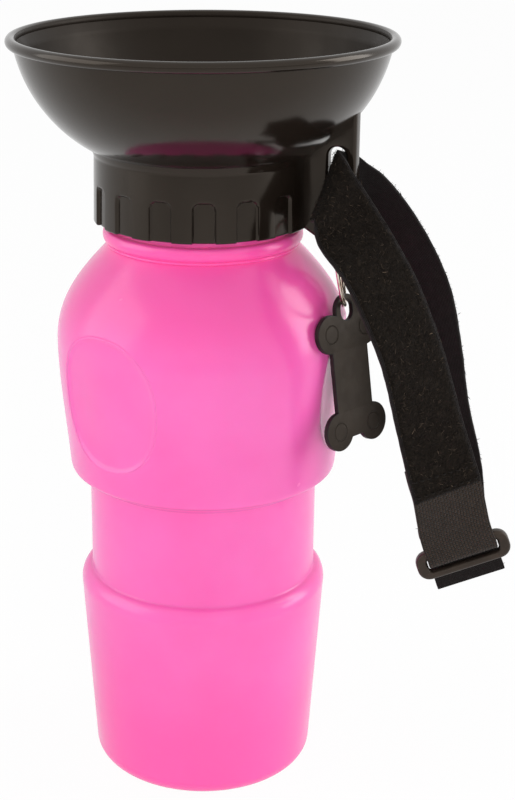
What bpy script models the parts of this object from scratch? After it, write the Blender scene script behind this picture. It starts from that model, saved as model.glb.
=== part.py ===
"""Squeeze water bottle for pets: bottle, screw-on drinking bowl, shut-off valve, hand strap and tag.

Metres, +Z up. The origin is on the bottle's axis, in the plane that the bottle stands on.
The bowl's strap lug points along +X.
"""

import math

import bmesh
import bpy
from mathutils import Matrix, Vector

MM = 0.001
UP = Vector((0.0, 0.0, 1.0))

# Clearance between faces that touch on the real object
GAP = 0.3 * MM

# How many times longer than its piece a through cutter is
THROUGH = 4

# Bottle
HEEL_RADIUS = 5.0 * MM
FOOT_LOW_RADIUS = 33.1 * MM
FOOT_TOP_RADIUS = 36.6 * MM
FOOT_HEIGHT = 63.0 * MM
FOOT_ROUND_HEIGHT = 4.5 * MM
BASE_PANEL_RADIUS = 20.0 * MM
BASE_PANEL_RISE = 1.0 * MM
WAIST_RADIUS = 33.4 * MM
WAIST_HEIGHT = 30.0 * MM
GRIP_LOW_RADIUS = 39.1 * MM
GRIP_RADIUS = 42.0 * MM
GRIP_HEIGHT = 41.5 * MM
GRIP_ROUND_HEIGHT = 5.0 * MM
SHOULDER_HEIGHT = 23.1 * MM
SHOULDER_TOP_REACH = 0.68
SHOULDER_TOP_DROP = 0.3
SHOULDER_FOOT_RISE = 0.45
NECK_RADIUS = 27.3 * MM
NECK_HEIGHT = 27.0 * MM
NECK_GROOVE_RISE = 3.4 * MM
NECK_BEAD_RISE = 6.4 * MM
NECK_BEAD_STAND = 1.2 * MM
NECK_BEAD_HALF_HEIGHT = 2.2 * MM
NECK_BEAD_SIDE_STAND = 0.84 * MM
NECK_BEAD_SIDE_RISE = 1.32 * MM
FINISH_RADIUS = 26.0 * MM
FINISH_WALL = 1.5 * MM
BOTTLE_WALL = 1.2 * MM
BOTTLE_STEPS = 48

# Thumb dimples in the grip
DIMPLE_COUNT = 3
DIMPLE_FIRST_DEG = 9.5
DIMPLE_HALF_WIDTH = 18.0 * MM
DIMPLE_HALF_HEIGHT = 19.5 * MM
DIMPLE_RISE = 30.0 * MM
DIMPLE_DEPTH = 1.8 * MM
DIMPLE_EDGE_SHARE = 0.35

# Seal between the bottle's lip and the bowl
SEAL_THICKNESS = 1.1 * MM
SEAL_LIP = 0.6 * MM

# Bowl and its threaded collar
THREAD_ROOM = 2.2 * MM
COLLAR_WALL = 2.2 * MM
COLLAR_FLARE = 0.5 * MM
COLLAR_CHAMFER = 0.5 * MM
COLLAR_LIFT = 2.8 * MM
BOWL_FLOOR = 2.0 * MM
BOWL_WALL = 2.0 * MM
BOWL_MOUTH_RADIUS = 51.9 * MM
BOWL_DEPTH = 33.7 * MM
BOWL_BULGE = 3.4 * MM
BOWL_FOOT_STEP = 0.7 * MM
BOWL_FOOT_RISE = 1.2 * MM
RIM_BEAD_RADIUS = 1.95 * MM
RIM_DROP = 3.5 * MM
BOWL_STEPS = 48
FLUTE_POSITIONS = 16
FLUTE_WIDTH = 6.2 * MM
FLUTE_HEIGHT = 11.0 * MM
FLUTE_DEPTH = 0.6 * MM
FLUTE_CORNER = 2.0 * MM

# Strap lug on the bowl
LUG_REACH = 45.0 * MM
LUG_THICKNESS = 4.0 * MM
LUG_DROP = 2.4 * MM
LUG_EDGE_ROUND = 0.8 * MM
LUG_BAR = 2.7 * MM
LUG_BRIDGE = 2.2 * MM
SLOT_WIDTH = 5.25 * MM
SLOT_HEIGHT = 23.6 * MM

# Shut-off valve in the bowl's floor
BARREL_RADIUS = 6.0 * MM
BARREL_STAND = 8.0 * MM
BARREL_BORE = 3.2 * MM
BARREL_ROOF = 1.0 * MM
VALVE_FLANGE_RADIUS = 9.0 * MM
VALVE_FLANGE = 2.0 * MM
SPIGOT_RADIUS = 3.2 * MM
SPIGOT_BORE = 2.2 * MM
SPIGOT_LENGTH = 12.0 * MM
O_RING_WIRE = 0.75 * MM
O_RING_RISE = 2.2 * MM
PORT_RADIUS = 1.5 * MM
PORT_RISE = 5.2 * MM
KNOB_WALL = 2.4 * MM
KNOB_ROOF = 2.0 * MM
KNOB_FLUTES = 12
KNOB_FLUTE_RADIUS = 0.9 * MM
KNOB_FLUTE_STEPS = 8
VALVE_STEPS = 24

# Dip tube
TUBE_WALL = 1.0 * MM
TUBE_STAND_OFF = 5.0 * MM
TUBE_STEPS = 16

# Hand strap
STRAP_THICKNESS = 1.8 * MM
WEBBING_THICKNESS = 1.2 * MM
HOOK_THICKNESS = 1.0 * MM
WEBBING_RETURN = 9.0 * MM
HOOK_LENGTH = 5.0 * MM
HOOK_RISE = 4.0 * MM
STRAP_RING_LENGTH = 27.0 * MM
STRAP_RING_HEIGHT = 8.6 * MM
STRAP_RING_BAR = 2.2 * MM
STRAP_RING_END = 3.2 * MM
STRAP_RING_THICKNESS = 3.0 * MM
STRAP_RING_ROUND = 0.9 * MM
STRAP_RING_CORNER = 3.44 * MM

# The tape's route, as its outer edge and its inner edge, from the slot to the webbing and to the tail
FRONT_STRAND_MM = (
    ((41.0, 0.0, 191.0), (41.0, 0.0, 171.0)),
    ((41.0, -3.4, 190.7), (40.7, -6.8, 171.9)),
    ((44.6, -7.0, 186.8), (39.8, -17.2, 175.0)),
    ((51.8, -9.3, 179.5), (42.6, -22.5, 170.5)),
    ((61.0, -13.0, 169.0), (50.4, -27.8, 164.5)),
    ((67.1, -14.0, 159.0), (56.2, -28.5, 155.4)),
    ((73.5, -12.3, 142.5), (62.4, -26.9, 139.9)),
    ((79.0, -8.6, 122.0), (65.2, -21.3, 121.3)),
    ((83.9, -4.8, 103.3), (69.5, -14.4, 98.0)),
)
REAR_STRAND_MM = (
    ((41.0, 0.0, 191.0), (41.0, 0.0, 171.0)),
    ((41.1, 3.4, 190.8), (40.7, 6.5, 171.2)),
    ((45.0, 7.5, 186.8), (41.0, 13.2, 168.8)),
    ((50.5, 10.3, 182.0), (43.5, 16.0, 165.0)),
    ((58.0, 12.5, 172.5), (46.8, 18.0, 157.5)),
    ((65.8, 13.0, 160.4), (50.5, 18.5, 148.5)),
    ((70.6, 12.0, 149.6), (53.0, 17.5, 141.5)),
    ((73.8, 11.0, 136.3), (55.5, 15.5, 129.5)),
    ((77.0, 10.0, 120.0), (58.7, 12.0, 112.0)),
    ((81.6, 8.0, 104.0), (63.6, 5.5, 96.5)),
)
STRAP_WIDTH = 20.0 * MM
STRAP_RING_CENTRE = Vector((80.35, -3.0, 79.85)) * MM
STRAP_RING_ALONG = Vector((0.875, 0.345, 0.34)).normalized()
STRAP_RING_DOWN = Vector((0.26, 0.14, -0.954))
FRONT_APPROACH = 9.0 * MM
REAR_APPROACH = 4.0 * MM
TAIL_LENGTH = 11.0 * MM
SAMPLES_PER_STATION = 5
FOLD_STEPS = 6

# Wire ring that carries the tag
TAG_RING_RADIUS = 11.0 * MM
TAG_RING_WIRE = 0.65 * MM
TAG_RING_SIDE = 3.5 * MM
TAG_RING_FACING_DEG = 15.0
TAG_RING_INSET = 1.55 * MM
TAG_RING_LIFT = 0.85 * MM
TAG_GRIP_ROOM = 1.5 * MM
TAG_RING_STEPS = 36
TAG_RING_SIDES = 8

# Bone tag
TAG_THICKNESS = 1.5 * MM
TAG_LOBE_RADIUS = 5.4 * MM
TAG_LOBE_ACROSS = 13.8 * MM
TAG_LOBE_ALONG = 27.6 * MM
TAG_SHAFT_WIDTH = 14.4 * MM
TAG_END_NOTCH = 2.9 * MM
TAG_EYE_RADIUS = 4.4 * MM
TAG_EYE_STAND = 4.8 * MM
TAG_HOLE_RADIUS = 2.4 * MM
TAG_HOLE_LENGTH = 5.8 * MM
TAG_HOLE_TOP = 1.6 * MM
TAG_HANG_ROOM = 0.9 * MM
TAG_FACING_DEG = -24.0
TAG_LEAN_DEG = 9.0

# Heights that follow from the sizes above
WAIST_Z = FOOT_HEIGHT
GRIP_Z = WAIST_Z + WAIST_HEIGHT
BULGE_Z = GRIP_Z + GRIP_HEIGHT
NECK_Z = BULGE_Z + SHOULDER_HEIGHT
LIP_Z = NECK_Z + NECK_HEIGHT
BEAD_TOP_Z = NECK_Z + NECK_BEAD_RISE + NECK_BEAD_HALF_HEIGHT
COLLAR_Z = BEAD_TOP_Z + COLLAR_LIFT
FLOOR_LOW_Z = LIP_Z + SEAL_THICKNESS + 2 * GAP
FLOOR_Z = FLOOR_LOW_Z + BOWL_FLOOR
RIM_Z = FLOOR_Z + BOWL_DEPTH
LUG_Z = COLLAR_Z - LUG_DROP
SLOT_Z = LUG_Z + LUG_BRIDGE
COLLAR_INNER = FINISH_RADIUS + THREAD_ROOM
COLLAR_OUTER = COLLAR_INNER + COLLAR_WALL
SLOT_OUTER = LUG_REACH - LUG_BAR
SLOT_INNER = SLOT_OUTER - SLOT_WIDTH
KNOB_BORE = BARREL_RADIUS + 2 * GAP
KNOB_RADIUS = KNOB_BORE + KNOB_WALL
KNOB_Z = FLOOR_Z + GAP

# The tag's ring crosses the lug's bridge at its top, and its lowest point clears the grip
TAG_RING_TOP = Vector((SLOT_INNER + TAG_RING_INSET, 0.0, SLOT_Z + TAG_RING_LIFT + TAG_RING_WIRE))
TAG_RING_OUT = GRIP_RADIUS + TAG_GRIP_ROOM - TAG_RING_TOP.x
TAG_RING_DROP = math.sqrt((2 * TAG_RING_RADIUS) ** 2 - TAG_RING_OUT**2 - TAG_RING_SIDE**2)
TAG_RING_HANG = Vector((TAG_RING_OUT, -TAG_RING_SIDE, -TAG_RING_DROP)).normalized()


def clear_scene():
    for obj in list(bpy.data.objects):
        bpy.data.objects.remove(obj)


def material(name, colour, roughness, metallic=0.0):
    made = bpy.data.materials.new(name)
    made.use_nodes = True
    shader = made.node_tree.nodes["Principled BSDF"]
    shader.inputs["Base Color"].default_value = (*colour, 1.0)
    shader.inputs["Roughness"].default_value = roughness
    shader.inputs["Metallic"].default_value = metallic
    return made


def place(name, bm, finish=None, matrix=None, sharp_deg=30.0):
    """Turns a bmesh into a named object; without a finish it is a hidden cutter."""
    bmesh.ops.recalc_face_normals(bm, faces=bm.faces)
    mesh = bpy.data.meshes.new(name)
    bm.to_mesh(mesh)
    bm.free()
    mesh.shade_smooth()
    mesh.set_sharp_from_angle(angle=math.radians(sharp_deg))
    obj = bpy.data.objects.new(name, mesh)
    bpy.context.scene.collection.objects.link(obj)
    if matrix is not None:
        obj.matrix_world = matrix
    if finish is None:
        obj.hide_render = True
        obj.display_type = "WIRE"
    else:
        mesh.materials.append(finish)
    return obj


def combine(obj, other, operation):
    modifier = obj.modifiers.new(other.name, "BOOLEAN")
    modifier.operation = operation
    modifier.solver = "EXACT"
    modifier.object = other


def round_edges(obj, width, segments=2):
    modifier = obj.modifiers.new("rounded edges", "BEVEL")
    modifier.width = width
    modifier.segments = segments
    modifier.limit_method = "ANGLE"
    modifier.angle_limit = math.radians(40.0)


def arc(centre, radii, start_deg, end_deg, count):
    """Points on an ellipse arc, both ends included."""
    points = []
    for i in range(count + 1):
        angle = math.radians(start_deg + (end_deg - start_deg) * i / count)
        points.append((centre[0] + radii[0] * math.cos(angle), centre[1] + radii[1] * math.sin(angle)))
    return points


def bezier(a, b, c, d, count):
    """Points on a cubic curve after its first point, up to its last."""
    points = []
    for i in range(1, count + 1):
        t = i / count
        weights = ((1 - t) ** 3, 3 * t * (1 - t) ** 2, 3 * t * t * (1 - t), t**3)
        points.append(tuple(sum(w * p[k] for w, p in zip(weights, (a, b, c, d))) for k in (0, 1)))
    return points


def turned(outline, steps):
    """Spins an outline of (radius, height) points about Z. A closed outline makes a ring."""
    bm = bmesh.new()
    closed = all(r > 1e-9 for r, z in outline)
    verts = [bm.verts.new((r, 0.0, z)) for r, z in outline]
    ends = verts[1:] + verts[:1] if closed else verts[1:]
    edges = [bm.edges.new(pair) for pair in zip(verts, ends)]
    bmesh.ops.spin(
        bm, geom=verts + edges, cent=(0, 0, 0), axis=UP, angle=math.tau, steps=steps, use_merge=True
    )
    bmesh.ops.remove_doubles(bm, verts=bm.verts, dist=1e-7)
    return bm


def prism(outline, low, high):
    """Extrudes a closed flat outline of (x, y) points from low to high along Z."""
    bm = bmesh.new()
    face = bm.faces.new([bm.verts.new((x, y, low)) for x, y in outline])
    raised = bmesh.ops.extrude_face_region(bm, geom=[face])
    moved = [v for v in raised["geom"] if isinstance(v, bmesh.types.BMVert)]
    bmesh.ops.translate(bm, vec=(0, 0, high - low), verts=moved)
    return bm


def stadium(half_width, low, high, count):
    """A slot outline along Y with round ends."""
    top = arc((0.0, high - half_width), (half_width, half_width), 0, 180, count)
    bottom = arc((0.0, low + half_width), (half_width, half_width), 180, 360, count)
    return top + bottom


def rod(radius, length, matrix, steps=VALVE_STEPS):
    bm = bmesh.new()
    bmesh.ops.create_cone(
        bm, cap_ends=True, segments=steps, radius1=radius, radius2=radius, depth=length, matrix=matrix
    )
    return bm


def axes_matrix(x_axis, y_axis, z_axis, origin):
    columns = Matrix((x_axis, y_axis, z_axis)).transposed().to_4x4()
    return Matrix.Translation(origin) @ columns


def bottle_wall_outline():
    """Outer wall of the bottle from the neck's foot down to the edge of its standing ring."""
    grip_round = GRIP_LOW_RADIUS - WAIST_RADIUS
    foot_round = FOOT_TOP_RADIUS - WAIST_RADIUS
    shoulder_end = (NECK_RADIUS + NECK_BEAD_STAND, NECK_Z)
    bulge = (GRIP_RADIUS, BULGE_Z)
    grip_foot = (GRIP_LOW_RADIUS, GRIP_Z + GRIP_ROUND_HEIGHT)
    reach = GRIP_RADIUS - shoulder_end[0]
    points = [shoulder_end]
    points += bezier(
        shoulder_end,
        (shoulder_end[0] + SHOULDER_TOP_REACH * reach, NECK_Z - SHOULDER_TOP_DROP * SHOULDER_HEIGHT),
        (GRIP_RADIUS, BULGE_Z + SHOULDER_FOOT_RISE * SHOULDER_HEIGHT),
        bulge,
        8,
    )
    lean = (GRIP_RADIUS - GRIP_LOW_RADIUS) / 3
    drop = (bulge[1] - grip_foot[1]) / 3
    points += bezier(
        bulge, (GRIP_RADIUS, bulge[1] - drop), (GRIP_LOW_RADIUS + lean, grip_foot[1] + drop), grip_foot, 10
    )
    grip_centre = (WAIST_RADIUS, grip_foot[1])
    points += arc(grip_centre, (grip_round, GRIP_ROUND_HEIGHT), 0, -90, 4)[1:]
    foot_centre = (WAIST_RADIUS, WAIST_Z - FOOT_ROUND_HEIGHT)
    points += arc(foot_centre, (foot_round, FOOT_ROUND_HEIGHT), 90, 0, 4)
    heel_centre = (FOOT_LOW_RADIUS - HEEL_RADIUS, HEEL_RADIUS)
    points += arc(heel_centre, (HEEL_RADIUS, HEEL_RADIUS), 0, -90, 4)
    return points


def inset_outline(points, distance):
    """Moves an outline that runs downwards by this distance towards the axis side."""
    moved = []
    for i, (r, z) in enumerate(points):
        before = points[max(i - 1, 0)]
        after = points[min(i + 1, len(points) - 1)]
        along = Vector((after[0] - before[0], after[1] - before[1])).normalized()
        moved.append((r + along.y * distance, z - along.x * distance))
    return moved


def dimple_depth(point):
    """How far the wall is pressed in at a point of the grip: flat in the middle, with a short edge."""
    centre_z = GRIP_Z + DIMPLE_RISE
    angle = math.atan2(point.y, point.x)
    pitch = math.tau / DIMPLE_COUNT
    turn = (angle - math.radians(DIMPLE_FIRST_DEG) + pitch / 2) % pitch - pitch / 2
    across = turn * GRIP_RADIUS / DIMPLE_HALF_WIDTH
    along = (point.z - centre_z) / DIMPLE_HALF_HEIGHT
    share = (1.0 - math.hypot(across, along)) / DIMPLE_EDGE_SHARE
    share = min(max(share, 0.0), 1.0)
    return DIMPLE_DEPTH * share * share * (3.0 - 2.0 * share)


def build_bottle(finish):
    wall = bottle_wall_outline()
    bead_z = NECK_Z + NECK_BEAD_RISE
    neck = [
        (FINISH_RADIUS, LIP_Z),
        (FINISH_RADIUS, BEAD_TOP_Z),
        (NECK_RADIUS + NECK_BEAD_SIDE_STAND, bead_z + NECK_BEAD_SIDE_RISE),
        (NECK_RADIUS + NECK_BEAD_STAND, bead_z),
        (NECK_RADIUS + NECK_BEAD_SIDE_STAND, bead_z - NECK_BEAD_SIDE_RISE),
        (NECK_RADIUS, NECK_Z + NECK_GROOVE_RISE),
    ]
    base = [
        (BASE_PANEL_RADIUS + BASE_PANEL_RISE, 0.0),
        (BASE_PANEL_RADIUS, BASE_PANEL_RISE),
        (0.0, BASE_PANEL_RISE),
    ]
    inner_wall = inset_outline(wall, BOTTLE_WALL)
    bore = FINISH_RADIUS - FINISH_WALL
    inner_floor = BASE_PANEL_RISE + BOTTLE_WALL
    inside = [(0.0, inner_floor), (inner_wall[-1][0], inner_floor)]
    inside += [point for point in inner_wall[::-1] if point[1] > inner_floor]
    inside += [(bore, NECK_Z), (bore, LIP_Z)]
    bm = turned((neck + wall + base)[::-1] + inside[::-1], BOTTLE_STEPS)
    for vert in bm.verts:
        away = Vector((vert.co.x, vert.co.y, 0.0))
        if away.length > FINISH_RADIUS:
            vert.co -= away.normalized() * dimple_depth(vert.co)
    return place("bottle", bm, finish)


def bowl_arc():
    """Centre, radius and end angles of the bowl's outer wall in its (radius, height) plane."""
    top = Vector((BOWL_MOUTH_RADIUS - RIM_BEAD_RADIUS / 3, RIM_Z - RIM_BEAD_RADIUS - RIM_DROP))
    foot = Vector((COLLAR_OUTER + BOWL_FOOT_STEP, FLOOR_Z + BOWL_FOOT_RISE))
    chord = foot - top
    radius = (chord.length_squared / 4 + BOWL_BULGE**2) / (2 * BOWL_BULGE)
    outward = Vector((-chord.y, chord.x)).normalized()
    centre = (top + foot) / 2 - outward * (radius - BOWL_BULGE)
    start = math.degrees(math.atan2(*(top - centre).yx))
    end = math.degrees(math.atan2(*(foot - centre).yx))
    return centre, radius, start, end


def bowl_outline():
    centre, radius, start, end = bowl_arc()
    bead = (BOWL_MOUTH_RADIUS, RIM_Z - RIM_BEAD_RADIUS)
    inner = radius - BOWL_WALL
    points = arc(bead, (RIM_BEAD_RADIUS, RIM_BEAD_RADIUS), 200, -110, 9)
    points += arc(centre, (radius, radius), start, end, 9)
    points += [
        (COLLAR_OUTER, FLOOR_Z - COLLAR_CHAMFER),
        (COLLAR_OUTER + COLLAR_FLARE, COLLAR_Z + COLLAR_CHAMFER),
        (COLLAR_OUTER + COLLAR_FLARE - COLLAR_CHAMFER, COLLAR_Z),
        (COLLAR_INNER, COLLAR_Z),
        (COLLAR_INNER, FLOOR_LOW_Z),
        (BARREL_RADIUS + GAP, FLOOR_LOW_Z),
        (BARREL_RADIUS + GAP, FLOOR_Z),
        (COLLAR_INNER - BOWL_FOOT_RISE, FLOOR_Z),
    ]
    points += arc(centre, (inner, inner), end, start, 6)
    return points


def lug_outline():
    """Outline of the lug plate in the (radius, height) plane. Its inner edge lies inside the bowl's wall."""
    centre, radius, _, end = bowl_arc()
    middle = radius - BOWL_WALL / 2
    reach_deg = -math.degrees(math.acos((LUG_REACH - centre.x) / middle))
    root = COLLAR_INNER + COLLAR_WALL / 2
    points = [
        (root, COLLAR_Z + COLLAR_CHAMFER),
        (COLLAR_OUTER + COLLAR_FLARE, COLLAR_Z),
        (SLOT_INNER - LUG_BRIDGE, LUG_Z),
        (LUG_REACH - LUG_EDGE_ROUND, LUG_Z),
        (LUG_REACH, LUG_Z + LUG_EDGE_ROUND),
    ]
    points += arc(centre, (middle, middle), reach_deg, end, 6)
    points += [(root, FLOOR_Z - BOWL_FLOOR / 2)]
    return points


def build_bowl(finish):
    bowl = place("bowl", turned(bowl_outline(), BOWL_STEPS), finish)
    upright = axes_matrix((1, 0, 0), (0, 0, 1), (0, -1, 0), (0, 0, 0))
    half = LUG_THICKNESS / 2
    lug = place("lug_plate", prism(lug_outline(), -half, half), matrix=upright)
    slot_half = SLOT_WIDTH / 2
    slot_top = (SLOT_INNER + slot_half, SLOT_Z + SLOT_HEIGHT - slot_half)
    slot = arc(slot_top, (slot_half, slot_half), 0, 180, 8)
    slot += [(SLOT_INNER, SLOT_Z), (SLOT_OUTER, SLOT_Z)]
    cutter = place("lug_slot", prism(slot, -LUG_THICKNESS, LUG_THICKNESS), matrix=upright)
    combine(lug, cutter, "DIFFERENCE")
    round_edges(lug, LUG_EDGE_ROUND)
    combine(bowl, lug, "UNION")
    combine(bowl, build_flute_cutter(), "DIFFERENCE")
    return bowl


def build_flute_cutter():
    """Flutes with round upper corners round the collar, at every position but the lug's."""
    floor = COLLAR_OUTER - FLUTE_DEPTH
    half = FLUTE_WIDTH / 2
    corner = (half - FLUTE_CORNER, FLUTE_HEIGHT - FLUTE_CORNER)
    outline = arc(corner, (FLUTE_CORNER, FLUTE_CORNER), 0, 90, 3)
    outline += [(-x, z) for x, z in reversed(outline)]
    outline += [(-half, -COLLAR_CHAMFER), (half, -COLLAR_CHAMFER)]
    cutters = bmesh.new()
    for i in range(1, FLUTE_POSITIONS):
        angle = i * math.tau / FLUTE_POSITIONS
        out = Vector((math.cos(angle), math.sin(angle), 0.0))
        one = prism(outline, 0.0, COLLAR_WALL)
        bmesh.ops.recalc_face_normals(one, faces=one.faces)
        where = axes_matrix(UP.cross(out), UP, out, out * floor + UP * COLLAR_Z)
        bmesh.ops.transform(one, matrix=where, verts=one.verts)
        mesh = bpy.data.meshes.new("flute")
        one.to_mesh(mesh)
        one.free()
        cutters.from_mesh(mesh)
        bpy.data.meshes.remove(mesh)
    return place("collar_flutes", cutters)


def build_seal(finish):
    bore = FINISH_RADIUS - FINISH_WALL - SEAL_LIP
    low = LIP_Z + GAP
    outline = [
        (COLLAR_INNER - GAP, low + SEAL_THICKNESS),
        (COLLAR_INNER - GAP, low),
        (bore, low),
        (bore, low + SEAL_THICKNESS),
    ]
    return place("bowl_seal", turned(outline, BOWL_STEPS), finish)


def build_valve_body(finish):
    flange_top = FLOOR_LOW_Z - GAP
    flange_low = flange_top - VALVE_FLANGE
    top = FLOOR_Z + BARREL_STAND
    groove = FLOOR_Z + O_RING_RISE
    groove_half = O_RING_WIRE + GAP
    groove_radius = BARREL_RADIUS + GAP - 2 * O_RING_WIRE - GAP
    spigot_low = flange_low - SPIGOT_LENGTH
    bore_top = top - BARREL_ROOF
    outline = [
        (0.0, top),
        (BARREL_RADIUS, top),
        (BARREL_RADIUS, groove + groove_half),
        (groove_radius, groove + groove_half),
        (groove_radius, groove - groove_half),
        (BARREL_RADIUS, groove - groove_half),
        (BARREL_RADIUS, flange_top),
        (VALVE_FLANGE_RADIUS, flange_top),
        (VALVE_FLANGE_RADIUS, flange_low),
        (SPIGOT_RADIUS, flange_low),
        (SPIGOT_RADIUS, spigot_low),
        (SPIGOT_BORE, spigot_low),
        (SPIGOT_BORE, flange_low),
        (BARREL_BORE, flange_top),
        (BARREL_BORE, bore_top),
        (0.0, bore_top),
    ]
    body = place("valve_body", turned(outline, VALVE_STEPS), finish)
    across = Matrix.Translation((0, 0, FLOOR_Z + PORT_RISE)) @ Matrix.Rotation(math.pi / 2, 4, "X")
    combine(body, place("body_ports", rod(PORT_RADIUS, THROUGH * BARREL_RADIUS, across)), "DIFFERENCE")
    return body


def build_valve_knob(finish):
    roof = FLOOR_Z + BARREL_STAND + GAP
    top = roof + KNOB_ROOF
    outline = [
        (0.0, top),
        (KNOB_RADIUS - COLLAR_CHAMFER, top),
        (KNOB_RADIUS, top - COLLAR_CHAMFER),
        (KNOB_RADIUS, KNOB_Z),
        (KNOB_BORE, KNOB_Z),
        (KNOB_BORE, roof),
        (0.0, roof),
    ]
    knob = place("valve_knob", turned(outline, VALVE_STEPS), finish)
    across = Matrix.Translation((0, 0, FLOOR_Z + PORT_RISE)) @ Matrix.Rotation(math.pi / 2, 4, "Y")
    combine(knob, place("knob_ports", rod(PORT_RADIUS, THROUGH * KNOB_RADIUS, across)), "DIFFERENCE")
    grips = bmesh.new()
    for i in range(KNOB_FLUTES):
        angle = (i + 0.5) * math.tau / KNOB_FLUTES
        where = Vector((math.cos(angle), math.sin(angle), 0.0)) * (KNOB_RADIUS + KNOB_FLUTE_RADIUS / 2)
        where.z = top
        bmesh.ops.create_cone(
            grips,
            cap_ends=True,
            segments=KNOB_FLUTE_STEPS,
            radius1=KNOB_FLUTE_RADIUS,
            radius2=KNOB_FLUTE_RADIUS,
            depth=THROUGH * BARREL_STAND,
            matrix=Matrix.Translation(where),
        )
    combine(knob, place("knob_grips", grips), "DIFFERENCE")
    return knob


def build_o_ring(finish):
    centre = (BARREL_RADIUS + GAP - O_RING_WIRE, FLOOR_Z + O_RING_RISE)
    outline = arc(centre, (O_RING_WIRE, O_RING_WIRE), 0, -315, 7)
    return place("valve_o_ring", turned(outline, VALVE_STEPS), finish)


def build_dip_tube(finish):
    bore = SPIGOT_RADIUS + GAP
    low = BASE_PANEL_RISE + BOTTLE_WALL + TUBE_STAND_OFF
    high = FLOOR_LOW_Z - GAP - VALVE_FLANGE - GAP
    outline = [(bore + TUBE_WALL, high), (bore + TUBE_WALL, low), (bore, low), (bore, high)]
    return place("dip_tube", turned(outline, TUBE_STEPS), finish)


def smooth_route(stations, samples):
    """A smooth curve through the stations, each a pair of edge points, read at even steps."""
    route = []
    last = len(stations) - 1
    for i in range(last):
        around = [stations[min(max(i + k, 0), last)] for k in (-1, 0, 1, 2)]
        for step in range(samples):
            t = step / samples
            weights = (
                -0.5 * t + t * t - 0.5 * t**3,
                1.0 - 2.5 * t * t + 1.5 * t**3,
                0.5 * t + 2.0 * t * t - 1.5 * t**3,
                -0.5 * t * t + 0.5 * t**3,
            )
            route.append([sum((w * s[e] for w, s in zip(weights, around)), Vector()) for e in (0, 1)])
    route.append([edge.copy() for edge in stations[-1]])
    return route


def even_width(route, width):
    """Sets every pair of edge points this far apart about their middle."""
    evened = []
    for outer, inner in route:
        middle = (outer + inner) / 2
        half = (outer - inner).normalized() * (width / 2)
        evened.append((middle + half, middle - half))
    return evened


def ribbon(route, thickness, offset=0.0):
    """A closed band along a route, moved off it by an offset along its face normal."""
    bm = bmesh.new()
    middles = [(outer + inner) / 2 for outer, inner in route]
    rows = []
    for i, (outer, inner) in enumerate(route):
        along = middles[min(i + 1, len(route) - 1)] - middles[max(i - 1, 0)]
        normal = (outer - inner).cross(along).normalized()
        low = normal * (offset - thickness / 2)
        high = normal * (offset + thickness / 2)
        rows.append([bm.verts.new(p) for p in (outer + low, outer + high, inner + high, inner + low)])
    for row, after in zip(rows, rows[1:]):
        for k in range(4):
            bm.faces.new((row[k], row[(k + 1) % 4], after[(k + 1) % 4], after[k]))
    bm.faces.new(rows[0][::-1])
    bm.faces.new(rows[-1])
    return bm


def metres(stations):
    return [[Vector(edge) * MM for edge in pair] for pair in stations]


def ring_axes():
    """The strap ring's own axes: along it, up the strap, and out of its front face."""
    along = STRAP_RING_ALONG
    up = -(STRAP_RING_DOWN - along * STRAP_RING_DOWN.dot(along)).normalized()
    return along, up, along.cross(up)


def edge_pair(middle):
    half = STRAP_RING_ALONG * (STRAP_WIDTH / 2)
    return [middle + half, middle - half]


def front_leg_offset():
    return STRAP_RING_THICKNESS / 2 + GAP + WEBBING_THICKNESS / 2


def rear_tape_offset():
    return front_leg_offset() + WEBBING_THICKNESS / 2 + GAP + HOOK_THICKNESS + GAP + STRAP_THICKNESS / 2


def build_strap_tape(finish):
    """Pile tape: up the front strand, through the lug's slot and down the rear strand to its tail."""
    _, up, out = ring_axes()
    behind = STRAP_RING_CENTRE - out * rear_tape_offset()
    rear = metres(REAR_STRAND_MM)
    rear += [edge_pair(behind + up * d) for d in (2 * REAR_APPROACH, REAR_APPROACH, -TAIL_LENGTH)]
    stations = metres(FRONT_STRAND_MM)[:0:-1] + rear
    route = even_width(smooth_route(stations, SAMPLES_PER_STATION), STRAP_WIDTH)
    return place("strap_loop_tape", ribbon(route, STRAP_THICKNESS), finish)


def build_strap_webbing(finish):
    """Plain webbing sewn to the tape's front end and folded round the strap ring's upper bar."""
    _, up, out = ring_axes()
    leg = front_leg_offset()
    fold_rise = STRAP_RING_HEIGHT / 2 - STRAP_RING_BAR
    tape_end = metres(FRONT_STRAND_MM)[-1]
    middle = (tape_end[0] + tape_end[1]) / 2
    front = STRAP_RING_CENTRE + out * leg
    start_along = (front + up * FRONT_APPROACH - middle).normalized()
    shift = start_along * GAP
    stations = [
        [tape_end[0] + shift, tape_end[1] + shift],
        edge_pair(front + up * FRONT_APPROACH),
        edge_pair(front + up * fold_rise),
    ]
    route = smooth_route(stations, SAMPLES_PER_STATION)
    for i in range(1, FOLD_STEPS):
        angle = math.pi * i / FOLD_STEPS
        swing = out * (leg * math.cos(angle)) - up * (leg * math.sin(angle))
        route.append(edge_pair(STRAP_RING_CENTRE + up * fold_rise + swing))
    back = STRAP_RING_CENTRE - out * leg
    route += [edge_pair(back + up * d) for d in (fold_rise, WEBBING_RETURN)]
    return place("strap_webbing", ribbon(even_width(route, STRAP_WIDTH), WEBBING_THICKNESS), finish)


def build_strap_hook_patch(finish):
    """Hook patch between the folded webbing and the tape's tail, which it holds."""
    _, up, out = ring_axes()
    middle = STRAP_RING_CENTRE - out * (front_leg_offset() + WEBBING_THICKNESS / 2 + GAP + HOOK_THICKNESS / 2)
    route = [edge_pair(middle + up * d) for d in (HOOK_RISE, HOOK_RISE - HOOK_LENGTH)]
    return place("strap_hook_patch", ribbon(route, HOOK_THICKNESS), finish)


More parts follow.
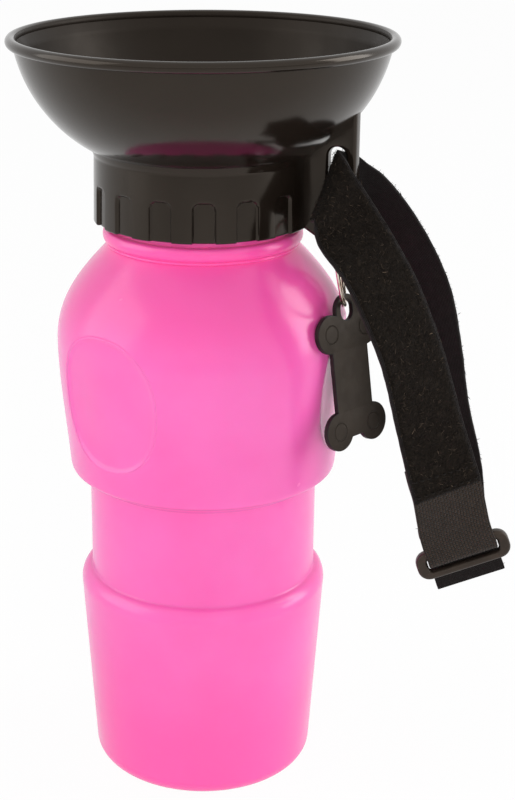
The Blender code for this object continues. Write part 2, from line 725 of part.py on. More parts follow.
def rounded_box(width, height, radius, count):
    points = []
    corners = ((1, 1, 0), (-1, 1, 90), (-1, -1, 180), (1, -1, 270))
    for x_side, y_side, start in corners:
        centre = (x_side * (width / 2 - radius), y_side * (height / 2 - radius))
        points += arc(centre, (radius, radius), start, start + 90, count)
    return points


def build_strap_ring(finish):
    half = STRAP_RING_THICKNESS / 2
    where = axes_matrix(*ring_axes(), STRAP_RING_CENTRE)
    outer = rounded_box(STRAP_RING_LENGTH, STRAP_RING_HEIGHT, STRAP_RING_CORNER, 4)
    window_length = STRAP_RING_LENGTH - 2 * STRAP_RING_END
    window = rounded_box(window_length, STRAP_RING_HEIGHT - 2 * STRAP_RING_BAR, STRAP_RING_BAR / 2, 2)
    ring = place("strap_ring", prism(outer, -half, half), finish, where)
    hole = place("strap_ring_window", prism(window, -2 * half, 2 * half), matrix=where)
    combine(ring, hole, "DIFFERENCE")
    round_edges(ring, STRAP_RING_ROUND)
    return ring


def tag_ring_axes():
    """Hang direction, wire direction at the ring's lowest point, and the normal of the ring's plane."""
    facing = math.radians(TAG_RING_FACING_DEG)
    normal = Vector((math.cos(facing), math.sin(facing), 0.0))
    normal = (normal - TAG_RING_HANG * normal.dot(TAG_RING_HANG)).normalized()
    return TAG_RING_HANG, normal.cross(TAG_RING_HANG), normal


def build_tag_ring(finish):
    hang, across, normal = tag_ring_axes()
    centre = TAG_RING_TOP + hang * TAG_RING_RADIUS
    outline = arc((TAG_RING_RADIUS, 0.0), (TAG_RING_WIRE, TAG_RING_WIRE), 0, -315, TAG_RING_SIDES - 1)
    bm = turned(outline, TAG_RING_STEPS)
    return place("tag_ring", bm, finish, axes_matrix(hang, across, normal, centre))


def tag_outline():
    """Bone outline round the tag's middle, with an eye on its upper end, counterclockwise from below."""
    lobe = TAG_LOBE_RADIUS
    x = TAG_LOBE_ACROSS / 2
    y = TAG_LOBE_ALONG / 2
    side = math.degrees(math.acos((TAG_SHAFT_WIDTH / 2 - x) / lobe))
    notch = math.degrees(math.asin((lobe - TAG_END_NOTCH) / lobe))
    eye = math.degrees(math.acos((TAG_EYE_RADIUS - x) / lobe))
    lobe_low_right = arc((x, -y), (lobe, lobe), notch - 180, side, 10)
    lobe_high_right = arc((x, y), (lobe, lobe), -side, eye, 8)
    eye_middle = y + lobe + TAG_EYE_STAND - TAG_EYE_RADIUS
    eye_half = arc((0.0, eye_middle), (TAG_EYE_RADIUS, TAG_EYE_RADIUS), 0, 90, 5)
    right = lobe_low_right + lobe_high_right + eye_half[:-1]
    return right + [eye_half[-1]] + [(-px, py) for px, py in reversed(right)]


def tag_matrix():
    facing = math.radians(TAG_FACING_DEG)
    lean = math.radians(TAG_LEAN_DEG)
    level = Vector((math.cos(facing), math.sin(facing), 0.0))
    across = UP.cross(level)
    up = UP * math.cos(lean) - level * math.sin(lean)
    normal = level * math.cos(lean) + UP * math.sin(lean)
    bottom = TAG_RING_TOP + TAG_RING_HANG * (2 * TAG_RING_RADIUS)
    eye_top = TAG_LOBE_ALONG / 2 + TAG_LOBE_RADIUS + TAG_EYE_STAND
    hung_at = eye_top - TAG_HOLE_TOP - TAG_HANG_ROOM - TAG_RING_WIRE
    return axes_matrix(across, up, normal, bottom - up * hung_at)


def build_tag(finish):
    half = TAG_THICKNESS / 2
    where = tag_matrix()
    tag = place("tag", prism(tag_outline(), -half, half), finish, where)
    hole_high = TAG_LOBE_ALONG / 2 + TAG_LOBE_RADIUS + TAG_EYE_STAND - TAG_HOLE_TOP
    hole = stadium(TAG_HOLE_RADIUS, hole_high - TAG_HOLE_LENGTH, hole_high, 6)
    cutter = place("tag_hole", prism(hole, -2 * half, 2 * half), matrix=where)
    combine(tag, cutter, "DIFFERENCE")
    return tag


def main():
    clear_scene()
    pink = material("pink_polyethylene", (0.93, 0.14, 0.45), 0.4)
    black = material("black_moulded_plastic", (0.02, 0.018, 0.016), 0.3)
    rubber = material("grey_silicone", (0.35, 0.35, 0.36), 0.6)
    clear = material("milky_tube", (0.75, 0.75, 0.76), 0.35)
    pile = material("black_pile_tape", (0.012, 0.011, 0.011), 0.95)
    webbing = material("black_webbing", (0.02, 0.018, 0.017), 0.8)
    steel = material("nickel_wire", (0.7, 0.68, 0.65), 0.25, 1.0)
    tag_rubber = material("dark_rubber", (0.035, 0.031, 0.027), 0.55)
    build_bottle(pink)
    build_bowl(black)
    build_seal(rubber)
    build_valve_body(black)
    build_valve_knob(black)
    build_o_ring(rubber)
    build_dip_tube(clear)
    build_strap_tape(pile)
    build_strap_webbing(webbing)
    build_strap_hook_patch(webbing)
    build_strap_ring(black)
    build_tag_ring(steel)
    build_tag(tag_rubber)


main()
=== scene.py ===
"""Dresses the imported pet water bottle: finishes, soft strap, fine mouldings, light and camera.

Metres, +Z up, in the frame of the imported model: the origin is on the bottle's axis, in the plane that
the bottle stands on, and the bowl's strap lug points along +X.
"""

import logging
import math
import random
from collections.abc import Callable, Iterable, Sequence
from dataclasses import dataclass, field, replace
from enum import Enum

import bmesh
import bpy
from mathutils import Matrix, Vector, noise

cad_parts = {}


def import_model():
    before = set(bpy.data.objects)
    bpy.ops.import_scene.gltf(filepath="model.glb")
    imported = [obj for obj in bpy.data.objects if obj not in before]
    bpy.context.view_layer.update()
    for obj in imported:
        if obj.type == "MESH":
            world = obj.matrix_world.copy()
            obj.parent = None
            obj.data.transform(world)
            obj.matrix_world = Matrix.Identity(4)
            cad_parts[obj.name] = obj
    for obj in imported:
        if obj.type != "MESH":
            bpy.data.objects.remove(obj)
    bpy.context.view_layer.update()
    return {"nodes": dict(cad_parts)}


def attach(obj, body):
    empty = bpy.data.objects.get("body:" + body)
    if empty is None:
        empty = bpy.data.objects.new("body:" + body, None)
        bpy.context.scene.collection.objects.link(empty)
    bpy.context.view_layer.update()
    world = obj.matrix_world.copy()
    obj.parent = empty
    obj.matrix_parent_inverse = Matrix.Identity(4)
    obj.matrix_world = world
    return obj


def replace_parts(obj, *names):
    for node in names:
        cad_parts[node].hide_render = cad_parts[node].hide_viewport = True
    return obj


MM = 0.001
UP = Vector((0.0, 0.0, 1.0))
LOG = logging.getLogger("pet_bottle")
PATTERN_MIDDLE = (0.15, 0.85)
CLOUD_SPAN = (0.35, 0.65)
FLAT_NORMAL = 0.99
TINY = 1e-6

Point = tuple[float, float]
Triple = tuple[float, float, float]
EdgePair = tuple[Triple, Triple]


class Body(Enum):
    """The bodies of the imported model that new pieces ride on."""

    BOTTLE = "bottle"
    BOWL = "bowl"
    STRAP = "strap"
    TAG_RING = "tag_ring"
    TAG = "tag"


class Slot(Enum):
    """The record's material slots, by name."""

    BOTTLE = "bottle_plastic"
    BLACK = "black_plastic"
    PILE = "pile_tape"
    WEBBING = "webbing"
    STEEL = "ring_steel"
    TAG = "tag_rubber"


def arc(centre: Point, radii: Point, start_deg: float, end_deg: float, count: int) -> list[Point]:
    """Reads points on an ellipse arc.

    Args:
        centre: Middle of the ellipse.
        radii: Its two half axes.
        start_deg: Angle of the first point.
        end_deg: Angle of the last point.
        count: Number of steps between the ends.

    Returns:
        The points, both ends included.
    """
    points = []
    for i in range(count + 1):
        angle = math.radians(start_deg + (end_deg - start_deg) * i / count)
        points.append((centre[0] + radii[0] * math.cos(angle), centre[1] + radii[1] * math.sin(angle)))
    return points


def cubic(ends: tuple[Point, Point, Point, Point], count: int) -> list[Point]:
    """Reads points on a cubic curve.

    Args:
        ends: The curve's four control points.
        count: Number of steps.

    Returns:
        The points after the first, up to the last.
    """
    points = []
    for i in range(1, count + 1):
        t = i / count
        weights = ((1 - t) ** 3, 3 * t * (1 - t) ** 2, 3 * t * t * (1 - t), t**3)
        points.append(tuple(sum(w * p[k] for w, p in zip(weights, ends)) for k in (0, 1)))
    return points


def fine(points: Sequence[Point], spacing: float) -> list[Point]:
    """Adds points to an open outline so that none of its steps is longer than a spacing.

    Args:
        points: The outline.
        spacing: Longest step.

    Returns:
        The finer outline.
    """
    finer = [points[0]]
    for start, end in zip(points, points[1:]):
        count = max(1, math.ceil(math.dist(start, end) / spacing))
        for i in range(1, count + 1):
            share = i / count
            finer.append((start[0] + (end[0] - start[0]) * share, start[1] + (end[1] - start[1]) * share))
    return finer


def rounded_box(width: float, height: float, radius: float, count: int) -> list[Point]:
    """Draws a rectangle with round corners, counterclockwise.

    Args:
        width: Size along x.
        height: Size along y.
        radius: Corner radius.
        count: Steps on each corner.

    Returns:
        The closed outline.
    """
    points = []
    for x_side, y_side, start in ((1, 1, 0), (-1, 1, 90), (-1, -1, 180), (1, -1, 270)):
        centre = (x_side * (width / 2 - radius), y_side * (height / 2 - radius))
        points += arc(centre, (radius, radius), start, start + 90, count)
    return points


def axes_matrix(x_axis: Vector, y_axis: Vector, z_axis: Vector, origin: Vector) -> Matrix:
    """Returns the matrix that carries a piece's own axes to these directions and this origin."""
    return Matrix.Translation(origin) @ Matrix((x_axis, y_axis, z_axis)).transposed().to_4x4()


def eased(share: float) -> float:
    """Returns a share from 0 to 1 with a soft start and a soft end."""
    share = min(max(share, 0.0), 1.0)
    return share * share * (3.0 - 2.0 * share)


class Form:
    """The points and faces of one mesh while it is being made.

    Attributes:
        verts: The points, in metres.
        faces: Faces as point numbers.
        kinds: Material number of each face.
        uvs: A pair of surface lengths for each point.
        tints: A shade number for each point.
    """

    def __init__(self) -> None:
        """Starts an empty mesh."""
        self.verts: list[Vector] = []
        self.faces: list[tuple[int, ...]] = []
        self.kinds: list[int] = []
        self.uvs: list[Point] = []
        self.tints: list[float] = []

    def point(self, place: Vector, uv: Point = (0.0, 0.0), tint: float = 0.0) -> int:
        """Adds a point.

        Args:
            place: Where it is.
            uv: Its surface lengths.
            tint: Its shade number.

        Returns:
            The point's number.
        """
        self.verts.append(place)
        self.uvs.append(uv)
        self.tints.append(tint)
        return len(self.verts) - 1

    def face(self, numbers: Iterable[int], kind: int = 0) -> None:
        """Adds a face over these points with this material number."""
        self.faces.append(tuple(numbers))
        self.kinds.append(kind)

    def bridge(self, row: Sequence[int], after: Sequence[int], closed: bool, kind: int = 0) -> None:
        """Joins two rows of points by faces; a row of one point is a pole.

        Args:
            row: The first row.
            after: The next row.
            closed: Whether the rows are rings.
            kind: Material number.
        """
        count = max(len(row), len(after))
        for i in range(count if closed else count - 1):
            j = (i + 1) % count
            if len(row) == 1:
                self.face((row[0], after[j], after[i]), kind)
            elif len(after) == 1:
                self.face((row[i], row[j], after[0]), kind)
            else:
                self.face((row[i], row[j], after[j], after[i]), kind)

    def lathe(
        self,
        outline: Sequence[Point],
        steps: int,
        shift: Callable[[Vector], Vector] | None = None,
        closed: bool = False,
    ) -> None:
        """Turns an outline of radius and height about Z.

        Args:
            outline: The points, from one end to the other.
            steps: Number of steps round the axis.
            shift: Moves each point, for what isn't round.
            closed: Whether the outline is a loop.
        """
        rows = []
        for radius, height in outline:
            if radius < TINY:
                rows.append([self.point(Vector((0.0, 0.0, height)))])
                continue
            ring = []
            for i in range(steps):
                angle = math.tau * i / steps
                place = Vector((radius * math.cos(angle), radius * math.sin(angle), height))
                place = shift(place) if shift else place
                ring.append(self.point(place, (angle * radius, height)))
            rows.append(ring)
        pairs = list(zip(rows, rows[1:]))
        if closed:
            pairs.append((rows[-1], rows[0]))
        for row, after in pairs:
            self.bridge(row, after, True)

    def tube(self, path: Sequence[Vector], radius: float, sides: int) -> None:
        """Sweeps a circle along an open path and closes its ends.

        Args:
            path: The middle line.
            radius: Radius of the tube.
            sides: Number of sides.
        """
        rows = []
        for i, place in enumerate(path):
            along = (path[min(i + 1, len(path) - 1)] - path[max(i - 1, 0)]).normalized()
            side = along.orthogonal().normalized()
            other = along.cross(side)
            ring = []
            for k in range(sides):
                angle = math.tau * k / sides
                offset = (side * math.cos(angle) + other * math.sin(angle)) * radius
                ring.append(self.point(place + offset))
            rows.append(ring)
        for row, after in zip(rows, rows[1:]):
            self.bridge(row, after, True)
        self.face(rows[0][::-1])
        self.face(rows[-1])

    def plate(
        self,
        outline: Sequence[Point],
        holes: Sequence[Sequence[Point]],
        thickness: float,
        edge: float,
        where: Matrix,
        side_kind: int = 0,
    ) -> None:
        """Adds a flat plate with rounded edges, cut from a filled curve.

        Args:
            outline: Its outline, counterclockwise.
            holes: Outlines of its holes, counterclockwise.
            thickness: Its thickness.
            edge: Radius of its edges.
            where: Carries the plate's own axes to its place.
            side_kind: Material number of the faces that aren't flat.
        """
        curve = bpy.data.curves.new("plate", "CURVE")
        curve.dimensions = "2D"
        curve.fill_mode = "BOTH"
        curve.extrude = thickness / 2 - edge
        curve.bevel_depth = edge
        curve.bevel_resolution = 3
        curve.offset = -edge
        for loop in [list(outline)] + [list(hole)[::-1] for hole in holes]:
            spline = curve.splines.new("POLY")
            spline.points.add(len(loop) - 1)
            for target, (x, y) in zip(spline.points, loop):
                target.co = (x, y, 0.0, 1.0)
            spline.use_cyclic_u = True
        holder = bpy.data.objects.new("plate", curve)
        bpy.context.scene.collection.objects.link(holder)
        mesh = bpy.data.meshes.new_from_object(holder.evaluated_get(bpy.context.evaluated_depsgraph_get()))
        start = len(self.verts)
        for vert in mesh.vertices:
            self.point(where @ vert.co, (vert.co.x, vert.co.y))
        for polygon in mesh.polygons:
            flat = abs(polygon.normal.z) > FLAT_NORMAL
            self.face((start + i for i in polygon.vertices), 0 if flat else side_kind)
        bpy.data.objects.remove(holder)
        bpy.data.curves.remove(curve)
        bpy.data.meshes.remove(mesh)

    def finish(
        self,
        name: str,
        materials: Sequence[bpy.types.Material],
        body: Body,
        slot: Slot,
        sharp_deg: float = 35.0,
        solid: bool = True,
    ) -> bpy.types.Object:
        """Turns the mesh into an object that rides on a body.

        Args:
            name: The piece's name.
            materials: Its materials, by material number.
            body: The body that carries it.
            slot: The record's material slot; it is not used.
            sharp_deg: Edges sharper than this keep a crease.
            solid: Whether points that meet are joined and faces turned outwards.

        Returns:
            The new object.
        """
        mesh = bpy.data.meshes.new(name)
        mesh.from_pydata(self.verts, [], self.faces)
        mesh.polygons.foreach_set("material_index", self.kinds)
        layer = mesh.uv_layers.new(name="lengths")
        for loop in mesh.loops:
            layer.data[loop.index].uv = self.uvs[loop.vertex_index]
        mesh.attributes.new("tint", "FLOAT", "POINT").data.foreach_set("value", self.tints)
        if solid:
            bm = bmesh.new()
            bm.from_mesh(mesh)
            bmesh.ops.remove_doubles(bm, verts=bm.verts, dist=TINY)
            bmesh.ops.recalc_face_normals(bm, faces=bm.faces)
            bm.to_mesh(mesh)
            bm.free()
        mesh.shade_smooth()
        mesh.set_sharp_from_angle(angle=math.radians(sharp_deg))
        for made in materials:
            mesh.materials.append(made)
        piece = bpy.data.objects.new(name, mesh)
        bpy.context.scene.collection.objects.link(piece)
        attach(piece, body.value)
        LOG.info("%s: %d faces on %s", name, len(mesh.polygons), body.value)
        return piece


class Graph:
    """The nodes of one material."""

    def __init__(self, name: str) -> None:
        """Starts a material with one shader.

        Args:
            name: The material's name.
        """
        self.material = bpy.data.materials.new(name)
        self.material.use_nodes = True
        self.tree = self.material.node_tree
        self.shader = self.tree.nodes["Principled BSDF"]

    def add(self, kind: str, values: dict[str, object] | None = None, **settings: object) -> bpy.types.Node:
        """Adds a node.

        Args:
            kind: Blender's name of the node type.
            values: Values for its sockets, or sockets to join to them.
            settings: Values for its properties.

        Returns:
            The node.
        """
        node = self.tree.nodes.new(kind)
        for key, value in settings.items():
            setattr(node, key, value)
        for key, value in (values or {}).items():
            self.feed(node, key, value)
        return node

    def feed(self, node: bpy.types.Node, key: str | int, value: object) -> None:
        """Sets a socket of a node to a value, or joins another node's socket to it.

        Args:
            node: The node.
            key: Name or number of its socket.
            value: The value, or the other node's socket.
        """
        if isinstance(value, bpy.types.NodeSocket):
            self.tree.links.new(value, node.inputs[key])
        else:
            node.inputs[key].default_value = value

    def shade(self, values: dict[str, object]) -> None:
        """Sets or joins sockets of the material's shader."""
        for key, value in values.items():
            self.feed(self.shader, key, value)

    def math(self, operation: str, first: object, second: object = 0.0) -> bpy.types.NodeSocket:
        """Adds a sum of two values or sockets.

        Args:
            operation: Name of the sum.
            first: First value or socket.
            second: Second value or socket.

        Returns:
            The result's socket.
        """
        node = self.add("ShaderNodeMath", operation=operation)
        self.feed(node, 0, first)
        self.feed(node, 1, second)
        return node.outputs["Value"]

    def noise(self, size: float, detail: float = 3.0, where: str = "Object") -> bpy.types.NodeSocket:
        """Adds a noise pattern.

        Args:
            size: Size of its spots, in metres.
            detail: How many finer layers it has.
            where: The coordinates that it reads.

        Returns:
            The pattern's value socket.
        """
        place = self.add("ShaderNodeTexCoord").outputs[where]
        values = {"Vector": place, "Scale": 1.0 / size, "Detail": detail}
        return self.add("ShaderNodeTexNoise", values).outputs["Fac"]

    def ramp(
        self, value: bpy.types.NodeSocket, low: Triple, high: Triple, span: Point
    ) -> bpy.types.NodeSocket:
        """Turns a value into a colour between two.

        Args:
            value: The value.
            low: Colour at the span's start.
            high: Colour at the span's end.
            span: The values at which the two colours are reached.

        Returns:
            The colour socket.
        """
        node = self.add("ShaderNodeValToRGB", {"Fac": value})
        for element, colour, place in zip(node.color_ramp.elements, (low, high), span):
            element.color = (*colour, 1.0)
            element.position = place
        return node.outputs["Color"]

    def smooth(
        self, value: bpy.types.NodeSocket, span: Point, ends: Point = (0.0, 1.0)
    ) -> bpy.types.NodeSocket:
        """Maps a value with a soft start and a soft end.

        Args:
            value: The value.
            span: Where the change starts and ends.
            ends: The results there.

        Returns:
            The result socket.
        """
        values = {"Value": value, "From Min": span[0], "From Max": span[1]}
        values |= {"To Min": ends[0], "To Max": ends[1]}
        return self.add("ShaderNodeMapRange", values, interpolation_type="SMOOTHSTEP").outputs["Result"]

    def spread(self, value: bpy.types.NodeSocket, low: float, high: float) -> bpy.types.NodeSocket:
        """Maps a pattern's middle range to values from low to high."""
        return self.smooth(value, PATTERN_MIDDLE, (low, high))

    def bump(
        self, height: bpy.types.NodeSocket, depth: float, below: bpy.types.NodeSocket | None = None
    ) -> bpy.types.NodeSocket:
        """Adds relief.

        Args:
            height: Pattern of the relief.
            depth: Its depth, in metres.
            below: Relief that it is added to.

        Returns:
            The normal socket.
        """
        node = self.add("ShaderNodeBump", {"Height": height, "Strength": 1.0, "Distance": depth})
        if below is not None:
            self.feed(node, "Normal", below)
        return node.outputs["Normal"]


@dataclass(frozen=True)
class Moulded:
    """A moulded plastic or rubber with cloudy colour, uneven gloss and fine relief.

    Attributes:
        name: The material's name.
        deep: Colour of its darker clouds.
        pale: Colour of its lighter clouds.
        cloud: Size of the clouds.
        gloss: Lowest and highest roughness.
        grain: Size of its fine relief.
        relief: Depth of the fine relief.
        swell: Depth of the wide unevenness of the moulding.
        specular: Strength of its reflections.
        specular_tint: Colour of its reflections.
        glow: Share of light that goes on inside the material.
        glow_reach: How far light goes in, for red, green and blue.
        haze: Strength of the pale haze at its edges.
        haze_tint: Colour of the haze.
        haze_roughness: How wide the haze spreads.
    """

    name: str
    deep: Triple
    pale: Triple
    cloud: float
    gloss: Point
    grain: float
    relief: float
    swell: float = 0.0
    specular: float = 0.5
    specular_tint: Triple = (1.0, 1.0, 1.0)
    glow: float = 0.0
    glow_reach: Triple = (1.0, 1.0, 1.0)
    haze: float = 0.0
    haze_tint: Triple = (1.0, 1.0, 1.0)
    haze_roughness: float = 0.35

    def graph(self) -> Graph:
        """Builds the finish's nodes.

        Returns:
            The nodes.
        """
        graph = Graph(self.name)
        cloud = graph.noise(self.cloud)
        grain = graph.noise(self.grain, detail=4.0)
        relief = graph.bump(grain, self.relief)
        if self.swell > 0.0:
            relief = graph.bump(cloud, self.swell, relief)
        graph.shade(
            {
                "Base Color": graph.ramp(cloud, self.deep, self.pale, CLOUD_SPAN),
                "Roughness": graph.spread(graph.noise(self.cloud / 3, detail=2.0), *self.gloss),
                "Normal": relief,
                "Specular IOR Level": self.specular,
                "Specular Tint": (*self.specular_tint, 1.0),
                "Sheen Weight": self.haze,
                "Sheen Tint": (*self.haze_tint, 1.0),
                "Sheen Roughness": self.haze_roughness,
                "Subsurface Weight": self.glow,
                "Subsurface Radius": self.glow_reach,
                "Subsurface Scale": MM,
            }
        )
        return graph

    def material(self) -> bpy.types.Material:
        """Returns the finished material."""
        return self.graph().material


@dataclass(frozen=True)
class Woven:
    """A flat woven band: staggered warp floats, read along the band's own lengths.

    Attributes:
        name: The material's name.
        dark: Colour between the yarns.
        yarn: Colour of the yarns.
        yarn_width: Width of a warp yarn.
        float_length: Length of a float.
        relief: Height of the yarns.
        sheen: Strength of the fibres' sheen.
        gap_share: Width of the dark gaps as a share of a yarn.
        second_yarn: Brightness of every second float.
        worn_yarn: Brightness of worn patches.
        worn_most: How far the worn patches cover the weave.
        worn_size: Size of the worn patches.
        fuzz_size: Size of the loose fuzz.
        fuzz_share: Height of the fuzz as a share of the yarns' height.
        gloss: Lowest and highest roughness.
        gloss_size: Size of its patches of gloss.
        specular: Strength of its reflections.
        sheen_roughness: How wide the sheen spreads.
    """

    name: str
    dark: Triple
    yarn: Triple
    yarn_width: float
    float_length: float
    relief: float
    sheen: float
    gap_share: float = 0.22
    second_yarn: float = 0.7
    worn_yarn: float = 0.45
    worn_most: float = 0.6
    worn_size: float = 2.5 * MM
    fuzz_size: float = 0.25 * MM
    fuzz_share: float = 0.5
    gloss: Point = (0.6, 0.85)
    gloss_size: float = 1.5 * MM
    specular: float = 0.12
    sheen_roughness: float = 0.5

    def dimmed(self, share: float) -> tuple[float, ...]:
        """Returns the yarn's colour at this share of its brightness."""
        return (*(c * share for c in self.yarn), 1.0)

    def material(self) -> bpy.types.Material:
        """Builds the material.

        Returns:
            The material.
        """
        graph = Graph(self.name)
        lengths = graph.add("ShaderNodeTexCoord").outputs["UV"]
        turned = graph.add("ShaderNodeMapping", {"Vector": lengths, "Rotation": (0.0, 0.0, math.pi / 2)})
        brick = graph.add(
            "ShaderNodeTexBrick",
            {
                "Vector": turned.outputs["Vector"],
                "Scale": 1.0,
                "Mortar Size": self.yarn_width * self.gap_share,
                "Mortar Smooth": 1.0,
                "Brick Width": self.float_length,
                "Row Height": self.yarn_width,
                "Color1": (*self.yarn, 1.0),
                "Color2": self.dimmed(self.second_yarn),
                "Mortar": (*self.dark, 1.0),
            },
            offset=0.5,
        )
        patches = graph.spread(graph.noise(self.worn_size, detail=4.0), 0.0, self.worn_most)
        worn = graph.add("ShaderNodeMix", {"Factor": patches})
        worn.data_type = "RGBA"
        graph.feed(worn, "A", brick.outputs["Color"])
        graph.feed(worn, "B", self.dimmed(self.worn_yarn))
        height = graph.math("SUBTRACT", 1.0, brick.outputs["Fac"])
        fuzz = graph.bump(graph.noise(self.fuzz_size, detail=2.0), self.relief * self.fuzz_share)
        graph.shade(
            {
                "Base Color": worn.outputs["Result"],
                "Roughness": graph.spread(graph.noise(self.gloss_size), *self.gloss),
                "Normal": graph.bump(height, self.relief, fuzz),
                "Specular IOR Level": self.specular,
                "Sheen Weight": self.sheen,
                "Sheen Roughness": self.sheen_roughness,
            }
        )
        return graph.material


@dataclass(frozen=True)
class Fibre:
    """Loose textile fibres, whose shade follows each fibre's tint.

    Attributes:
        name: The material's name.
        dark: Colour at tint 0.
        pale: Colour at tint 1.
        sheen: Strength of the fibres' sheen.
        sheen_roughness: How wide the sheen spreads.
        speckle: How far its speckles lift the tint.
        speckle_size: Size of the speckles.
        gloss: Lowest and highest roughness.
        gloss_size: Size of its patches of gloss.
        relief: Height of its fine relief.
        relief_size: Size of the relief.
        specular: Strength of its reflections.
    """

    name: str
    dark: Triple
    pale: Triple
    sheen: float = 0.02
    sheen_roughness: float = 0.6
    speckle: float = 0.03
    speckle_size: float = 0.6 * MM
    gloss: Point = (0.75, 0.95)
    gloss_size: float = 1.0 * MM
    relief: float = 0.3 * MM
    relief_size: float = 0.5 * MM
    specular: float = 0.06

    def material(self) -> bpy.types.Material:
        """Builds the material.

        Returns:
            The material.
        """
        graph = Graph(self.name)
        tint = graph.add("ShaderNodeAttribute", attribute_name="tint").outputs["Fac"]
        speckle = graph.spread(graph.noise(self.speckle_size, detail=4.0), 0.0, self.speckle)
        shade = graph.math("ADD", tint, speckle)
        graph.shade(
            {
                "Base Color": graph.ramp(shade, self.dark, self.pale, (0.0, 1.0)),
                "Roughness": graph.spread(graph.noise(self.gloss_size), *self.gloss),
                "Normal": graph.bump(graph.noise(self.relief_size, detail=5.0), self.relief),
                "Specular IOR Level": self.specular,
                "Sheen Weight": self.sheen,
                "Sheen Roughness": self.sheen_roughness,
            }
        )
        return graph.material


@dataclass(frozen=True)
class PlatedWire:
    """Plated steel wire with a warm cast and fine draw marks.

    Attributes:
        name: The material's name.
        bright: Colour of the plating.
        dull: Colour where it has dulled.
        gloss: Lowest and highest roughness.
        patch: Size of its dull patches.
        dull_span: Where the patches start and are full.
        marks: Size of the draw marks.
        mark_depth: Depth of the draw marks.
    """

    name: str
    bright: Triple
    dull: Triple
    gloss: Point
    patch: float = 3.0 * MM
    dull_span: Point = (0.4, 0.7)
    marks: float = 0.4 * MM
    mark_depth: float = 0.02 * MM

    def material(self) -> bpy.types.Material:
        """Builds the material.

        Returns:
            The material.
        """
        graph = Graph(self.name)
        patches = graph.noise(self.patch, detail=4.0)
        graph.shade(
            {
                "Base Color": graph.ramp(patches, self.bright, self.dull, self.dull_span),
                "Metallic": 1.0,
                "Roughness": graph.spread(patches, *self.gloss),
                "Normal": graph.bump(graph.noise(self.marks), self.mark_depth),
            }
        )
        return graph.material


@dataclass(frozen=True)
class Pressed(Moulded):
    """A moulded plastic with a fine crease where each point's tint, a distance in metres, is zero.

    Attributes:
        thick_wall_and_shade_colour: Deeper colour where the foot's wall is thick, and painted shade at the
            shoulder under the bowl's collar.
        thick_wall_and_shade_most: How far that deeper colour and painted shade cover the other colour.
        rich_foot: Heights below and above the foot's change from thick to thin.
        shoulder_shade_span: Heights below and above the start of the painted shade at the shoulder.
        crease_width: Width of the crease.
        crease_depth: Depth of the crease.
    """

    thick_wall_and_shade_colour: Triple = (0.94, 0.085, 0.37)
    thick_wall_and_shade_most: float = 0.8
    rich_foot: Point = (15 * MM, 55 * MM)
    shoulder_shade_span: Point = (134 * MM, 152 * MM)
    crease_width: float = 0.9 * MM
    crease_depth: float = 0.16 * MM

    def material(self) -> bpy.types.Material:
        """Builds the material.

        Returns:
            The material.
        """
        graph = self.graph()
        distance = graph.add("ShaderNodeAttribute", attribute_name="tint").outputs["Fac"]
        crease = graph.smooth(graph.math("ABSOLUTE", distance), (0.0, self.crease_width / 2))
        below = graph.shader.inputs["Normal"].links[0].from_socket
        # Deeper colour at the thick foot, and painted shade at the shoulder under the bowl's collar.
        mix = graph.add("ShaderNodeMix", {"Factor": self.thickness(graph)}, data_type="RGBA")
        graph.feed(mix, "A", graph.shader.inputs["Base Color"].links[0].from_socket)
        graph.feed(mix, "B", (*self.thick_wall_and_shade_colour, 1.0))
        relief = graph.bump(crease, self.crease_depth, below)
        graph.shade({"Normal": relief, "Base Color": mix.outputs["Result"]})
        return graph.material

    def thickness(self, graph: Graph) -> bpy.types.NodeSocket:
        """Adds a pattern that is 1 near the foot, where the wall is thick, and at the shoulder, where it paints
        the shade under the collar.

        Args:
            graph: The material's nodes.

        Returns:
            The pattern's value socket.
        """
        place = graph.add("ShaderNodeTexCoord").outputs["Object"]
        height = graph.add("ShaderNodeSeparateXYZ", {"Vector": place}).outputs["Z"]
        foot = graph.smooth(height, self.rich_foot, (1.0, 0.0))
        shoulder = graph.smooth(height, self.shoulder_shade_span)
        return graph.math("MULTIPLY", graph.math("MAXIMUM", foot, shoulder), self.thick_wall_and_shade_most)


@dataclass(frozen=True)
class TagFace(Moulded):
    """The tag's broad faces: moulded rubber with a round groove in each lobe.

    Attributes:
        lobe_across: Half the distance between lobes across the tag.
        lobe_along: Half the distance between lobes along the tag.
        groove_radius: Radius of the grooves.
        groove_width: Width of the grooves.
        groove_depth: Depth of the grooves.
    """

    lobe_across: float = 6.9 * MM
    lobe_along: float = 13.8 * MM
    groove_radius: float = 2.5 * MM
    groove_width: float = 0.5 * MM
    groove_depth: float = 0.25 * MM

    def material(self) -> bpy.types.Material:
        """Builds the material.

        Returns:
            The material.
        """
        graph = self.graph()
        lengths = graph.add("ShaderNodeTexCoord").outputs["UV"]
        split = graph.add("ShaderNodeSeparateXYZ", {"Vector": lengths})
        offsets = []
        for axis, lobe in (("X", self.lobe_across), ("Y", self.lobe_along)):
            away = graph.math("SUBTRACT", graph.math("ABSOLUTE", split.outputs[axis]), lobe)
            offsets.append(graph.math("MULTIPLY", away, away))
        distance = graph.math("SQRT", graph.math("ADD", *offsets))
        off_line = graph.math("ABSOLUTE", graph.math("SUBTRACT", distance, self.groove_radius))
        groove = graph.smooth(off_line, (0.0, self.groove_width / 2))
        below = graph.shader.inputs["Normal"].links[0].from_socket
        graph.shade({"Normal": graph.bump(groove, self.groove_depth, below)})
        return graph.material


